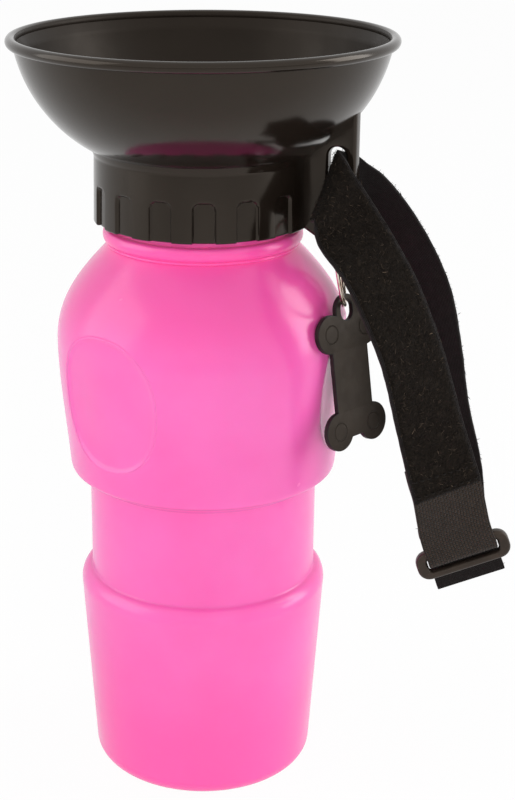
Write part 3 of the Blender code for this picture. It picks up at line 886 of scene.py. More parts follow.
@dataclass(frozen=True)
class Finishes:
    """Every finish on the object."""

    bottle: Pressed = Pressed(
        "pink_polyethylene",
        deep=(0.92, 0.115, 0.425),
        pale=(0.94, 0.145, 0.475),
        cloud=38 * MM,
        gloss=(0.2, 0.28),
        grain=1.4 * MM,
        relief=0.02 * MM,
        swell=0.5 * MM,
        specular=0.5,
        glow=0.3,
        glow_reach=(5.0, 1.6, 2.8),
        haze=0.1,
        haze_tint=(0.9, 0.82, 1.0),
    )
    black: Moulded = Moulded(
        "black_bowl_plastic",
        deep=(0.0085, 0.006, 0.0044),
        pale=(0.0115, 0.0083, 0.0062),
        cloud=24 * MM,
        gloss=(0.12, 0.18),
        grain=0.9 * MM,
        relief=0.006 * MM,
        swell=0.08 * MM,
        specular=0.4,
        specular_tint=(1.0, 0.87, 0.74),
    )
    black_inside: Moulded = replace(black, name="black_bowl_inside", gloss=(0.4, 0.5), specular=0.2)
    ring: Moulded = Moulded(
        "black_ring_plastic",
        deep=(0.017, 0.0125, 0.01),
        pale=(0.028, 0.02, 0.0155),
        cloud=5 * MM,
        gloss=(0.3, 0.42),
        grain=0.5 * MM,
        relief=0.02 * MM,
        specular=0.35,
        specular_tint=(1.0, 0.87, 0.74),
    )
    silicone: Moulded = Moulded(
        "grey_silicone",
        deep=(0.3, 0.3, 0.31),
        pale=(0.36, 0.36, 0.37),
        cloud=6 * MM,
        gloss=(0.5, 0.65),
        grain=0.6 * MM,
        relief=0.02 * MM,
        glow=0.2,
    )
    tube: Moulded = Moulded(
        "milky_tube",
        deep=(0.68, 0.68, 0.69),
        pale=(0.76, 0.76, 0.77),
        cloud=12 * MM,
        gloss=(0.3, 0.4),
        grain=1.0 * MM,
        relief=0.01 * MM,
        glow=0.4,
    )
    tag_face: TagFace = TagFace(
        "tag_rubber_face",
        deep=(0.018, 0.0132, 0.01),
        pale=(0.026, 0.0195, 0.0148),
        cloud=7 * MM,
        gloss=(0.45, 0.6),
        grain=0.35 * MM,
        relief=0.03 * MM,
        specular=0.25,
        specular_tint=(1.0, 0.88, 0.76),
    )
    # A darker copy of the tag's rubber for its edges: painted shade on the edges.
    tag_edge_painted_shade: Moulded = Moulded(
        "tag_rubber_edge_painted_shade",
        deep=(0.008, 0.007, 0.006),
        pale=(0.014, 0.012, 0.01),
        cloud=3 * MM,
        gloss=(0.45, 0.6),
        grain=0.35 * MM,
        relief=0.03 * MM,
        specular=0.3,
    )
    wire: PlatedWire = PlatedWire("nickel_wire", (0.72, 0.64, 0.55), (0.45, 0.3, 0.22), (0.16, 0.3))
    tape_back: Woven = Woven(
        "tape_back_weave",
        dark=(0.003, 0.0022, 0.002),
        yarn=(0.013, 0.0095, 0.009),
        yarn_width=0.5 * MM,
        float_length=1.6 * MM,
        relief=0.12 * MM,
        sheen=0.05,
    )
    webbing: Woven = Woven(
        "webbing_weave",
        dark=(0.005, 0.0038, 0.003),
        yarn=(0.041, 0.028, 0.0205),
        yarn_width=0.8 * MM,
        float_length=1.25 * MM,
        relief=0.3 * MM,
        sheen=0.08,
    )
    pile: Fibre = Fibre("pile_fibre", (0.0012, 0.0009, 0.0008), (0.34, 0.25, 0.18))
    thread: Fibre = Fibre("sewing_thread", (0.012, 0.01, 0.009), (0.2, 0.17, 0.14))


@dataclass
class Bottle:
    """Blow-moulded squeeze bottle: foot, waist, grip with thumb dimples, shoulder, neck and thread.

    Its fields are its plastic, the steps of its mesh and its sizes. A height whose name ends in rise is
    measured from the foot of the part that it is on, and a pull is a share of a curve's reach.
    """

    finish: Pressed
    steps: int = 400
    spacing: float = 0.6 * MM
    heel_radius: float = 5.0 * MM
    foot_low_radius: float = 33.1 * MM
    foot_top_radius: float = 36.6 * MM
    foot_height: float = 63.0 * MM
    foot_round: float = 4.5 * MM
    foot_round_deg: float = 84.0
    foot_seam: float = 0.3 * MM
    panel_radius: float = 20.0 * MM
    panel_rise: float = 1.0 * MM
    waist_radius: float = 33.4 * MM
    waist_height: float = 30.0 * MM
    waist_edge: float = 0.5 * MM
    waist_corner: Point = (0.12, 0.1 * MM)
    grip_low_radius: float = 39.1 * MM
    grip_radius: float = 42.0 * MM
    grip_height: float = 41.5 * MM
    grip_round: float = 5.0 * MM
    grip_turn: Point = (0.3 * MM, 0.45)
    grip_slant: Point = (0.5, 0.33)
    bulge_pull: float = 0.45
    shoulder_height: float = 23.1 * MM
    shoulder_pull: Point = (0.63, 0.35)
    neck_radius: float = 27.3 * MM
    neck_height: float = 27.0 * MM
    notch_rise: float = 4.5 * MM
    notch_depth: float = 0.3 * MM
    ridge_rise: float = 5.1 * MM
    ridge_radius: float = 0.35 * MM
    ridge_deg: float = 70.0
    bead_rise: float = 7.5 * MM
    bead_stand: float = 1.1 * MM
    bead_half_height: float = 1.9 * MM
    bead_deg: float = 80.0
    lip_edge: float = 0.4 * MM
    finish_radius: float = 26.0 * MM
    finish_wall: float = 1.5 * MM
    wall: float = 1.2 * MM
    inner_skip: int = 4
    dimple_count: int = 3
    dimple_first_deg: float = 9.5
    dimple_half_width: float = 18.0 * MM
    dimple_half_height: float = 19.5 * MM
    dimple_rise: float = 30.0 * MM
    dimple_depth: float = 1.4 * MM
    dimple_edge: float = 0.5
    dimple_squareness: float = 2.3
    dimple_step: float = 0.4 * MM
    dimple_step_width: float = 1.2 * MM
    dimple_fade: float = 9.0 * MM
    dimple_faintest: float = 0.02
    thread_rise: float = 5.0 * MM
    thread_turns: float = 1.75
    thread_pitch: float = 4.0 * MM
    thread_stand: float = 1.2 * MM
    thread_half_width: float = 1.0 * MM
    thread_crest: float = 0.4
    thread_root: float = 0.3 * MM
    thread_run_out: float = 12.0
    thread_steps: int = 160

    @property
    def grip_z(self) -> float:
        """Height of the grip's lower edge."""
        return self.foot_height + self.waist_height

    @property
    def bulge_z(self) -> float:
        """Height of the widest place."""
        return self.grip_z + self.grip_height

    @property
    def neck_z(self) -> float:
        """Height of the neck's foot."""
        return self.bulge_z + self.shoulder_height

    @property
    def lip_z(self) -> float:
        """Height of the lip."""
        return self.neck_z + self.neck_height

    def outer_outline(self) -> list[Point]:
        """Traces the outside from the neck's notch down to the standing ring.

        Returns:
            Points of radius and height.
        """
        shoulder = (self.neck_radius - self.notch_depth, self.neck_z + self.notch_rise)
        bulge = (self.grip_radius, self.bulge_z)
        across = bulge[0] - shoulder[0]
        rise = shoulder[1] - bulge[1]
        foot = (self.grip_low_radius, self.grip_z + self.grip_round)
        lean = (self.grip_radius - self.grip_low_radius) / 3
        drop = (bulge[1] - foot[1]) / 3
        points = [shoulder]
        pull = (shoulder[0] + self.shoulder_pull[0] * across, shoulder[1] - self.shoulder_pull[1] * rise)
        above = (bulge[0], bulge[1] + self.bulge_pull * self.shoulder_height)
        points += cubic((shoulder, pull, above, bulge), 30)
        pull = (self.grip_low_radius + lean, foot[1] + drop)
        points += cubic((bulge, (bulge[0], bulge[1] - drop), pull, foot), 40)
        under = self.grip_low_radius - self.waist_radius
        slant = (
            self.waist_radius + self.grip_slant[0] * under,
            self.grip_z + self.grip_slant[1] * self.grip_round,
        )
        turn = (self.grip_low_radius - self.grip_turn[0], foot[1] - self.grip_turn[1] * self.grip_round)
        points += cubic((foot, turn, turn, slant), 10)
        points += [
            (self.waist_radius + self.waist_corner[0] * under, self.grip_z - self.waist_corner[1]),
            (self.waist_radius, self.grip_z - self.waist_edge),
            (self.waist_radius, self.foot_height + self.foot_seam),
        ]
        rounds = (self.foot_top_radius - self.waist_radius, self.foot_round)
        shelf = (self.waist_radius, self.foot_height - self.foot_round)
        points += arc(shelf, rounds, self.foot_round_deg, 0, 12)
        heel = (self.foot_low_radius - self.heel_radius, self.heel_radius)
        points += arc(heel, (self.heel_radius, self.heel_radius), 0, -90, 12)
        return fine(points, self.spacing)

    def neck_outline(self) -> list[Point]:
        """Traces the neck from the lip down to the shoulder.

        Returns:
            Points of radius and height.
        """
        bead = (self.neck_radius, self.neck_z + self.bead_rise)
        points = [
            (self.finish_radius - self.lip_edge, self.lip_z),
            (self.finish_radius, self.lip_z - self.lip_edge),
            (self.finish_radius, bead[1] + self.bead_half_height),
        ]
        points += arc(bead, (self.bead_stand, self.bead_half_height), self.bead_deg, -self.bead_deg, 16)
        ridge = (self.neck_radius, self.neck_z + self.ridge_rise)
        points += arc(ridge, (self.ridge_radius,) * 2, self.ridge_deg, -self.ridge_deg, 8)
        return fine(points, self.spacing)

    def inner_outline(self, outer: Sequence[Point]) -> list[Point]:
        """Returns the inner outline from the floor up to the lip.

        Args:
            outer: The outer outline, from the neck's notch down.

        Returns:
            The inner outline, one wall inside the outer one.
        """
        inner = []
        for i, (radius, height) in enumerate(outer):
            before = outer[max(i - 1, 0)]
            after = outer[min(i + 1, len(outer) - 1)]
            along = Vector((after[0] - before[0], after[1] - before[1])).normalized()
            inner.append((radius + along.y * self.wall, height - along.x * self.wall))
        bore = self.finish_radius - self.finish_wall
        floor = self.panel_rise + self.wall
        kept = [(r, z) for r, z in inner[:: -self.inner_skip] if z > floor]
        return [(0.0, floor), (inner[-1][0], floor)] + kept + [(bore, self.neck_z), (bore, self.lip_z)]

    def pressed(self, place: Vector) -> Vector:
        """Moves a point of the grip in where a thumb dimple is pressed.

        Args:
            place: The point on the round wall.

        Returns:
            The point on the dimpled wall.
        """
        away = Vector((place.x, place.y, 0.0))
        if away.length < self.waist_radius - self.wall:
            return place
        inside = self.dimple_inside(place)
        hollow = min(max(inside / (self.dimple_edge * self.dimple_half_width), 0.0), 1.0)
        depth = self.dimple_depth * (1.0 - (1.0 - hollow) ** 2)
        depth += self.dimple_step * eased(inside / self.dimple_step_width)
        return place - away.normalized() * depth

    def dimple_inside(self, place: Vector) -> float:
        """Returns how far inside the nearest dimple's outline a point is.

        Args:
            place: The point on the wall.

        Returns:
            The distance; it is negative outside.
        """
        pitch = math.tau / self.dimple_count
        turn = math.atan2(place.y, place.x) - math.radians(self.dimple_first_deg)
        turn = (turn + pitch / 2) % pitch - pitch / 2
        across = abs(turn) * self.grip_radius / self.dimple_half_width
        along = (place.z - self.grip_z - self.dimple_rise) / self.dimple_half_height
        power = self.dimple_squareness
        return self.dimple_half_width * (1.0 - (across**power + abs(along) ** power) ** (1.0 / power))

    def crease_distance(self, place: Vector) -> float:
        """Measures a distance from the crease round a dimple, longer where the crease fades.

        Args:
            place: The point to measure from.

        Returns:
            The distance.
        """
        low = self.grip_z + self.dimple_rise - self.dimple_half_height
        fade = eased((place.z - low) / self.dimple_fade)
        return self.dimple_inside(place) / max(fade, self.dimple_faintest)

    def add_thread(self, form: Form) -> None:
        """Winds the neck's thread onto the form.

        Args:
            form: The bottle's mesh.
        """
        low = self.neck_z + self.bead_rise + self.bead_half_height + self.thread_rise
        side = self.thread_half_width
        root = self.finish_radius - self.thread_root
        rows = []
        for i in range(self.thread_steps + 1):
            share = i / self.thread_steps
            angle = math.tau * self.thread_turns * share
            fade = eased(min(share, 1.0 - share) * self.thread_run_out)
            middle = low + self.thread_pitch * self.thread_turns * share
            out = Vector((math.cos(angle), math.sin(angle), 0.0))
            crest = self.finish_radius + self.thread_stand * fade
            flat = self.thread_crest * side
            section = ((root, -side), (crest, -flat), (crest, flat), (root, side))
            rows.append([form.point(out * r + UP * (middle + z)) for r, z in section])
        for row, after in zip(rows, rows[1:]):
            form.bridge(row, after, True)
        form.face(rows[0])
        form.face(rows[-1][::-1])

    def build(self) -> None:
        """Builds the bottle in place of its solid."""
        outer = self.outer_outline()
        panel = self.panel_radius
        base = [(panel + self.panel_rise, 0.0), (panel, self.panel_rise), (0.0, self.panel_rise)]
        outside = self.neck_outline() + outer + base
        form = Form()
        form.lathe(outside[::-1] + self.inner_outline(outer)[::-1], self.steps, self.pressed)
        form.tints = [self.crease_distance(place) for place in form.verts]
        self.add_thread(form)
        materials = [self.finish.material()]
        piece = form.finish("bottle_shell", materials, Body.BOTTLE, Slot.BOTTLE, sharp_deg=50.0)
        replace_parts(piece, "bottle")


@dataclass
class Bowl:
    """Drinking bowl, fluted screw collar and strap lug, one moulding.

    Its fields are its plastic outside and on the drinking side, the steps of its mesh and its sizes.
    """

    finish: Moulded
    inside: Moulded
    steps: int = 768
    spacing: float = 1.0 * MM
    flute_spacing: float = 0.4 * MM
    collar_inner: float = 28.2 * MM
    collar_outer: float = 30.4 * MM
    collar_flare: float = 0.5 * MM
    collar_z: float = 169.0 * MM
    collar_edge: float = 0.5 * MM
    collar_inner_edge: float = 0.3 * MM
    collar_groove: Point = (0.5 * MM, 1.0 * MM)
    collar_groove_out: float = 0.1 * MM
    collar_groove_deg: Point = (130.0, 190.0)
    floor_low_z: float = 186.3 * MM
    floor_z: float = 188.3 * MM
    floor_hole: float = 6.3 * MM
    wall: float = 2.0 * MM
    rim_z: float = 220.5 * MM
    rim_bead: float = 1.5 * MM
    rim_radius: float = 52.35 * MM
    rim_deg: Point = (200.0, -110.0)
    wall_top: Point = (51.25 * MM, 215.2 * MM)
    bulge: float = 3.4 * MM
    foot_step: float = 0.7 * MM
    foot_rise: float = 1.2 * MM
    flute_positions: int = 16
    flute_half_width: float = 3.1 * MM
    flute_height: float = 11.0 * MM
    flute_corner: float = 2.0 * MM
    flute_depth: float = 0.9 * MM
    flute_slope: float = 0.45 * MM
    lug_reach: float = 45.0 * MM
    lug_z: float = 166.6 * MM
    lug_thickness: float = 4.0 * MM
    lug_edge: float = 0.8 * MM
    lug_bar: float = 2.7 * MM
    lug_bridge: float = 2.2 * MM
    slot_width: float = 5.25 * MM
    slot_height: float = 23.6 * MM

    def wall_arc(self) -> tuple[Vector, float, float, float]:
        """Finds the arc of the outer wall in its plane of radius and height.

        Returns:
            The centre, the radius and both end angles.
        """
        top = Vector(self.wall_top)
        foot = Vector((self.collar_outer + self.foot_step, self.floor_z + self.foot_rise))
        chord = foot - top
        radius = (chord.length_squared / 4 + self.bulge**2) / (2 * self.bulge)
        outward = Vector((-chord.y, chord.x)).normalized()
        centre = (top + foot) / 2 - outward * (radius - self.bulge)
        start = math.degrees(math.atan2(*(top - centre).yx))
        end = math.degrees(math.atan2(*(foot - centre).yx))
        return centre, radius, start, end

    def outline(self) -> list[Point]:
        """Traces the bowl and its collar.

        Returns:
            The closed outline.
        """
        centre, radius, start, end = self.wall_arc()
        inner = radius - self.wall
        bead = (self.rim_radius, self.rim_z - self.rim_bead)
        points = arc(bead, (self.rim_bead,) * 2, *self.rim_deg, 28)
        points += arc(centre, (radius, radius), start, end, 44)
        flared = self.collar_outer + self.collar_flare
        groove = (flared + self.collar_groove_out, self.floor_z - self.collar_groove[1])
        collar = arc(groove, self.collar_groove, *self.collar_groove_deg, 5)
        edge = (flared - self.collar_edge, self.collar_z + self.collar_edge)
        collar += arc(edge, (self.collar_edge,) * 2, 0, -90, 5)
        points += fine(collar, self.flute_spacing)
        points += [
            (self.collar_inner + self.collar_inner_edge, self.collar_z),
            (self.collar_inner, self.collar_z + self.collar_inner_edge),
            (self.collar_inner, self.floor_low_z),
            (self.floor_hole, self.floor_low_z),
            (self.floor_hole, self.floor_z),
            (self.collar_inner - self.foot_rise, self.floor_z),
        ]
        points += arc(centre, (inner, inner), end, start, 40)
        return fine(points + points[:1], self.spacing)[:-1]

    def fluted(self, place: Vector) -> Vector:
        """Moves a point of the collar in where a flute is.

        Args:
            place: The point on the round collar.

        Returns:
            The point on the fluted collar.
        """
        away = Vector((place.x, place.y, 0.0))
        rise = place.z - self.collar_z
        if away.length < (self.collar_inner + self.collar_outer) / 2 or rise > self.flute_height + MM:
            return place
        pitch = math.tau / self.flute_positions
        angle = math.atan2(place.y, place.x)
        number = round(angle / pitch)
        if number % self.flute_positions == 0:
            return place
        x = abs(angle - number * pitch) * away.length - (self.flute_half_width - self.flute_corner)
        z = rise - (self.flute_height - self.flute_corner)
        outside = math.hypot(max(x, 0.0), max(z, 0.0)) + min(max(x, z), 0.0) - self.flute_corner
        depth = self.flute_depth * eased(0.5 - outside / self.flute_slope)
        return place - away.normalized() * depth

    def mark_inside(self, form: Form) -> None:
        """Gives the faces of the drinking side their own material number.

        Args:
            form: The turned bowl.
        """
        centre, radius, _, _ = self.wall_arc()
        for number, face in enumerate(form.faces):
            place = form.verts[face[0]]
            away = Vector((math.hypot(place.x, place.y), place.z)) - centre
            if place.z > self.floor_z - self.collar_edge and away.length < radius - self.wall / 2:
                form.kinds[number] = 1

    def lug_outline(self) -> list[Point]:
        """Traces the lug, whose inner edge lies inside the bowl's wall.

        Returns:
            The outline.
        """
        centre, radius, _, end = self.wall_arc()
        middle = radius - self.wall / 2
        reach_deg = -math.degrees(math.acos((self.lug_reach - centre.x) / middle))
        root = (self.collar_inner + self.collar_outer) / 2
        slot_inner = self.lug_reach - self.lug_bar - self.slot_width
        points = [
            (root, self.collar_z + self.collar_edge),
            (self.collar_outer + self.collar_flare, self.collar_z),
            (slot_inner - self.lug_bridge, self.lug_z),
            (self.lug_reach - self.lug_edge, self.lug_z),
            (self.lug_reach, self.lug_z + self.lug_edge),
        ]
        points += arc(centre, (middle, middle), reach_deg, end, 14)
        points.append((root, self.floor_z - self.wall / 2))
        return points

    def slot_outline(self) -> list[Point]:
        """Traces the strap slot, counterclockwise, with a round top.

        Returns:
            The outline.
        """
        half = self.slot_width / 2
        outer = self.lug_reach - self.lug_bar
        low = self.lug_z + self.lug_bridge
        points = arc((outer - half, low + self.slot_height - half), (half, half), 0, 180, 20)
        return points + [(outer - self.slot_width, low), (outer, low)]

    def build(self) -> None:
        """Builds the bowl in place of its solid."""
        form = Form()
        form.lathe(self.outline(), self.steps, self.fluted, True)
        self.mark_inside(form)
        upright = axes_matrix(Vector((1, 0, 0)), UP, Vector((0, -1, 0)), Vector())
        form.plate(self.lug_outline(), [self.slot_outline()], self.lug_thickness, self.lug_edge, upright)
        materials = [self.finish.material(), self.inside.material()]
        piece = form.finish("bowl_moulding", materials, Body.BOWL, Slot.BLACK, sharp_deg=40.0)
        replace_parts(piece, "bowl")


@dataclass
class Valve:
    """The shut-off valve, its seals and the dip tube, which keep their solids and get finishes.

    Attributes:
        finishes: All finishes.
        edge: Radius of the valve's edges.
        edge_steps: Steps round an edge.
    """

    finishes: Finishes
    edge: float = 0.25 * MM
    edge_steps: int = 3

    def dress(self, nodes: dict[str, bpy.types.Object]) -> None:
        """Gives the solids their finishes and softens their edges.

        Args:
            nodes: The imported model's nodes by name.
        """
        black = self.finishes.black.material()
        silicone = self.finishes.silicone.material()
        tube = self.finishes.tube.material()
        for name, made in (
            ("valve_body", black),
            ("valve_knob", black),
            ("valve_o_ring", silicone),
            ("bowl_seal", silicone),
            ("dip_tube", tube),
        ):
            solid = nodes[name]
            for slot in solid.material_slots:
                slot.link = "OBJECT"
                slot.material = made
            if made is black:
                rounding = solid.modifiers.new("soft edges", "BEVEL")
                rounding.width = self.edge
                rounding.segments = self.edge_steps
                rounding.limit_method = "ANGLE"
            LOG.info("%s: finished as %s", name, made.name)


@dataclass(frozen=True)
class Section:
    """One place on a band's route.

    Attributes:
        middle: The middle of the band.
        across: The direction of its width.
        face: The direction that its outer face looks.
        travel: Length of the route up to here.
    """

    middle: Vector
    across: Vector
    face: Vector
    travel: float

    def at(self, across: float, height: float) -> Vector:
        """Returns the point this far across the band and this high over its middle."""
        return self.middle + self.across * across + self.face * height


class Route:
    """A band's route, read from pairs of edge points."""

    def __init__(self, stations: Sequence[Sequence[Vector]], samples: int) -> None:
        """Reads a smooth curve through the stations.

        Args:
            stations: Outer and inner edge points.
            samples: Steps between two stations.
        """
        last = len(stations) - 1
        pairs = []
        for i in range(last):
            around = [stations[min(max(i + k, 0), last)] for k in (-1, 0, 1, 2)]
            for step in range(samples):
                t = step / samples
                weights = (
                    -0.5 * t + t * t - 0.5 * t**3,
                    1.0 - 2.5 * t * t + 1.5 * t**3,
                    0.5 * t + 2.0 * t * t - 1.5 * t**3,
                    -0.5 * t * t + 0.5 * t**3,
                )
                pairs.append([sum((w * s[e] for w, s in zip(weights, around)), Vector()) for e in (0, 1)])
        pairs.append([edge.copy() for edge in stations[-1]])
        self.sections = self.read(pairs)

    @staticmethod
    def read(pairs: Sequence[Sequence[Vector]]) -> list[Section]:
        """Turns pairs of edge points into sections.

        Args:
            pairs: Outer and inner edge points along the route.

        Returns:
            One section for each pair.
        """
        middles = [(outer + inner) / 2 for outer, inner in pairs]
        sections = []
        travel = 0.0
        for i, (outer, inner) in enumerate(pairs):
            along = middles[min(i + 1, len(pairs) - 1)] - middles[max(i - 1, 0)]
            across = (outer - inner).normalized()
            travel += (middles[i] - middles[max(i - 1, 0)]).length
            sections.append(Section(middles[i], across, across.cross(along).normalized(), travel))
        return sections

    @property
    def length(self) -> float:
        """Length of the route."""
        return self.sections[-1].travel

    def section(self, travel: float) -> Section:
        """Finds the section at a length along the route.

        Args:
            travel: The length.

        Returns:
            The section.
        """
        low, high = 0, len(self.sections) - 1
        while high - low > 1:
            middle = (low + high) // 2
            if self.sections[middle].travel < travel:
                low = middle
            else:
                high = middle
        a, b = self.sections[low], self.sections[high]
        share = (travel - a.travel) / max(b.travel - a.travel, TINY)
        share = min(max(share, 0.0), 1.0)
        return Section(
            a.middle.lerp(b.middle, share),
            a.across.lerp(b.across, share).normalized(),
            a.face.lerp(b.face, share).normalized(),
            travel,
        )


@dataclass(frozen=True)
class Fluff:
    """One kind of loose fibre on the tape.

    Attributes:
        count: How many there are.
        length_mm: Shortest and longest length.
        width_mm: Width.
    """

    count: int
    length_mm: Point
    width_mm: float


@dataclass
class Strap:
    """Hand strap: pile tape through the bowl's lug, webbing folded round a ring, and a hook patch.

    Its fields are its finishes and its sizes. The ring's middle and the edge points of the front and rear
    strands, from the slot down, are in millimetres. A band's edge is the radius of its edges and how far
    they wander. A layer sets one noise pattern apart from another.
    """

    finishes: Finishes
    width: float = 20.0 * MM
    tape_thickness: float = 1.8 * MM
    tape_edge: Point = (0.35 * MM, 0.12 * MM)
    tape_samples: int = 20
    back_thickness: float = 1.0 * MM
    band_spacing: float = 1.4 * MM
    wander_length: float = 3 * MM
    wander_layer: float = 5.0
    selvedge: float = 0.7 * MM
    webbing_thickness: float = 1.2 * MM
    webbing_edge: Point = (0.4 * MM, 0.1 * MM)
    webbing_samples: int = 6
    fold_steps: int = 8
    webbing_return: float = 9.0 * MM
    webbing_overlap: float = 9.0 * MM
    hook_thickness: float = 1.0 * MM
    hook_edge: Point = (0.25 * MM, 0.08 * MM)
    hook_samples: int = 12
    hook_length: float = 5.0 * MM
    hook_rise: float = 4.0 * MM
    gap: float = 0.3 * MM
    front_approach: float = 9.0 * MM
    rear_approach: float = 4.0 * MM
    tail_length: float = 11.0 * MM
    ring_centre: Triple = (80.35, -3.0, 79.85)
    ring_along: Triple = (0.875, 0.345, 0.34)
    ring_down: Triple = (0.26, 0.14, -0.954)
    ring_length: float = 27.0 * MM
    ring_height: float = 8.6 * MM
    ring_bar: float = 2.2 * MM
    ring_end: float = 3.2 * MM
    ring_thickness: float = 3.0 * MM
    ring_edge: float = 0.9 * MM
    ring_corner: float = 3.44 * MM
    pile_columns: int = 26
    pile_row: float = 0.7 * MM
    pile_side_round: float = 0.9 * MM
    pile_end_round: float = 0.8 * MM
    pile_sunk: float = 0.2 * MM
    pile_share: float = 0.75
    pile_start: float = 0.3 * MM
    pile_tint: Point = (0.006, 0.03)
    lump_size: float = 1.3 * MM
    lump_height: float = 0.2 * MM
    lump_layer: float = 3.0
    lump_detail: tuple[float, float, int] = (0.9, 2.0, 3)
    fibre_bend: float = 0.9
    nap: Fluff = Fluff(24000, (0.5, 1.05), 0.085)
    nap_root: float = 0.3 * MM
    nap_lean: float = 0.5
    nap_outward: float = 0.35
    nap_tint: Point = (0.004, 0.12)
    clump_size: float = 1.0 * MM
    clump_layer: float = 9.0
    clump_power: float = 1.5
    curls: Fluff = Fluff(3000, (0.8, 1.6), 0.15)
    curl_root_mm: Point = (0.75, 0.95)
    curl_tint: Point = (0.02, 0.12)
    lint: Fluff = Fluff(70, (0.5, 1.8), 0.07)
    lint_root: float = 0.95 * MM
    lint_tint: Point = (0.25, 0.9)
    fray: Fluff = Fluff(160, (0.3, 0.8), 0.1)
    fray_root_mm: Point = (-0.8, 0.6)
    fray_lean: float = 0.25
    fray_tint: float = 0.05
    stitch_rows: Point = (1.8 * MM, 6.5 * MM)
    stitch_pitch: float = 2.1 * MM
    stitch_share: float = 0.8
    stitch_side_count: int = 4
    stitch_height: float = 0.95 * MM
    stitch_dip: float = 1.2 * MM
    stitch_steps: int = 6
    thread_radius: float = 0.2 * MM
    seed: int = 7
    front: tuple[EdgePair, ...] = (
        ((41.0, 0.0, 191.0), (41.0, 0.0, 171.0)),
        ((40.3, -4.6, 191.0), (36.4, -9.6, 174.4)),
        ((44.6, -7.0, 186.8), (40.3, -20.0, 177.0)),
        ((51.8, -9.3, 179.5), (42.6, -22.5, 170.5)),
        ((61.0, -13.0, 169.0), (50.4, -27.8, 164.5)),
        ((67.1, -14.0, 159.0), (56.2, -28.5, 155.4)),
        ((73.5, -12.3, 142.5), (62.4, -26.9, 139.9)),
        ((79.0, -8.6, 122.0), (65.2, -21.3, 121.3)),
        ((83.9, -4.8, 103.3), (69.5, -14.4, 98.0)),
    )
    rear: tuple[EdgePair, ...] = (
        ((41.0, 0.0, 191.0), (41.0, 0.0, 171.0)),
        ((41.1, 3.4, 190.8), (40.7, 6.5, 171.2)),
        ((45.0, 7.5, 186.8), (41.0, 13.2, 168.8)),
        ((50.5, 10.3, 182.0), (43.5, 16.0, 165.0)),
        ((58.0, 12.5, 172.5), (46.8, 18.0, 157.5)),
        ((65.8, 13.0, 160.4), (50.5, 18.5, 148.5)),
        ((70.6, 12.0, 149.6), (53.0, 17.5, 141.5)),
        ((73.8, 11.0, 136.3), (55.5, 15.5, 129.5)),
        ((77.0, 10.0, 120.0), (58.7, 12.0, 112.0)),
        ((81.6, 8.0, 104.0), (63.6, 5.5, 96.5)),
    )
    chance: random.Random = field(init=False)

    def __post_init__(self) -> None:
        """Starts the seeded chance that scatters the fibres."""
        self.chance = random.Random(self.seed)

    def ring_axes(self) -> tuple[Vector, Vector, Vector]:
        """Finds the ring's own axes.

        Returns:
            The directions along it, up the strap and out of its front face.
        """
        along = Vector(self.ring_along).normalized()
        down = Vector(self.ring_down)
        up = -(down - along * down.dot(along)).normalized()
        return along, up, along.cross(up)

    def middle(self) -> Vector:
        """Returns the ring's middle."""
        return Vector(self.ring_centre) * MM

    def edges(self, middle: Vector) -> list[Vector]:
        """Returns the two edge points of a band that lies along the ring with this middle."""
        half = self.ring_axes()[0] * (self.width / 2)
        return [middle + half, middle - half]

    @staticmethod
    def metres(stations: Sequence[EdgePair]) -> list[list[Vector]]:
        """Turns edge points in millimetres into points in metres."""
        return [[Vector(edge) * MM for edge in pair] for pair in stations]

    def leg_offset(self) -> float:
        """Returns how far the webbing's legs lie from the ring's middle."""
        return self.ring_thickness / 2 + self.gap + self.webbing_thickness / 2

    def tape_route(self) -> Route:
        """Lays the tape up the front strand, through the slot and down to the tail.

        Returns:
            The tape's route.
        """
        _, up, out = self.ring_axes()
        offset = self.leg_offset() + self.webbing_thickness / 2 + self.hook_thickness
        behind = self.middle() - out * (offset + 2 * self.gap + self.tape_thickness / 2)
        heights = (2 * self.rear_approach, self.rear_approach, -self.tail_length)
        rear = self.metres(self.rear) + [self.edges(behind + up * height) for height in heights]
        return Route(self.metres(self.front)[:0:-1] + rear, self.tape_samples)

    def webbing_route(self) -> Route:
        """Lays the webbing from under the tape's end, round the ring and up its back.

        Returns:
            The webbing's route.
        """
        _, up, out = self.ring_axes()
        leg = self.leg_offset()
        fold = self.middle() + up * (self.ring_height / 2 - self.ring_bar)
        front = self.middle() + out * leg
        under = -(self.tape_thickness / 2 + self.webbing_thickness / 2)
        tape = self.tape_route()
        stations = []
        for travel in (self.webbing_overlap, self.webbing_overlap / 2):
            section = tape.section(travel)
            stations.append([section.at(side * self.width / 2, under) for side in (1, -1)])
        end = tape.section(0.0)
        stations.append([end.at(side * self.width / 2, under / 2) for side in (1, -1)])
        stations += [self.edges(front + up * self.front_approach), self.edges(fold + out * leg)]
        for i in range(1, self.fold_steps):
            angle = math.pi * i / self.fold_steps
            stations.append(self.edges(fold + out * (leg * math.cos(angle)) - up * (leg * math.sin(angle))))
        back = self.middle() - out * leg
        stations += [self.edges(fold - out * leg), self.edges(back + up * self.webbing_return)]
        return Route(stations, self.webbing_samples)

    def add_band(self, form: Form, route: Route, low: float, high: float, edge: Point) -> None:
        """Adds a closed band with round edges along a route.

        Args:
            form: The mesh.
            route: The route.
            low: Height of its inner face over the route.
            high: Height of its outer face.
            edge: Radius of its edges and how far they wander.
        """
        radius, wander = edge
        loop = rounded_box(self.width, high - low, radius, 3)
        loop = fine(loop + loop[:1], self.band_spacing)[:-1]
        rows = []
        for section in route.sections:
            row = []
            for x, y in loop:
                layer = math.copysign(self.wander_layer, x)
                drift = noise.noise(Vector((section.travel / self.wander_length, layer, 0.0))) * wander
                place = section.at(x + drift * abs(x) / self.width * 2, y + (low + high) / 2)
                row.append(form.point(place, (x, section.travel)))
            rows.append(row)
        for row, after in zip(rows, rows[1:]):
            form.bridge(row, after, True)
        form.face(rows[0][::-1])
        form.face(rows[-1])

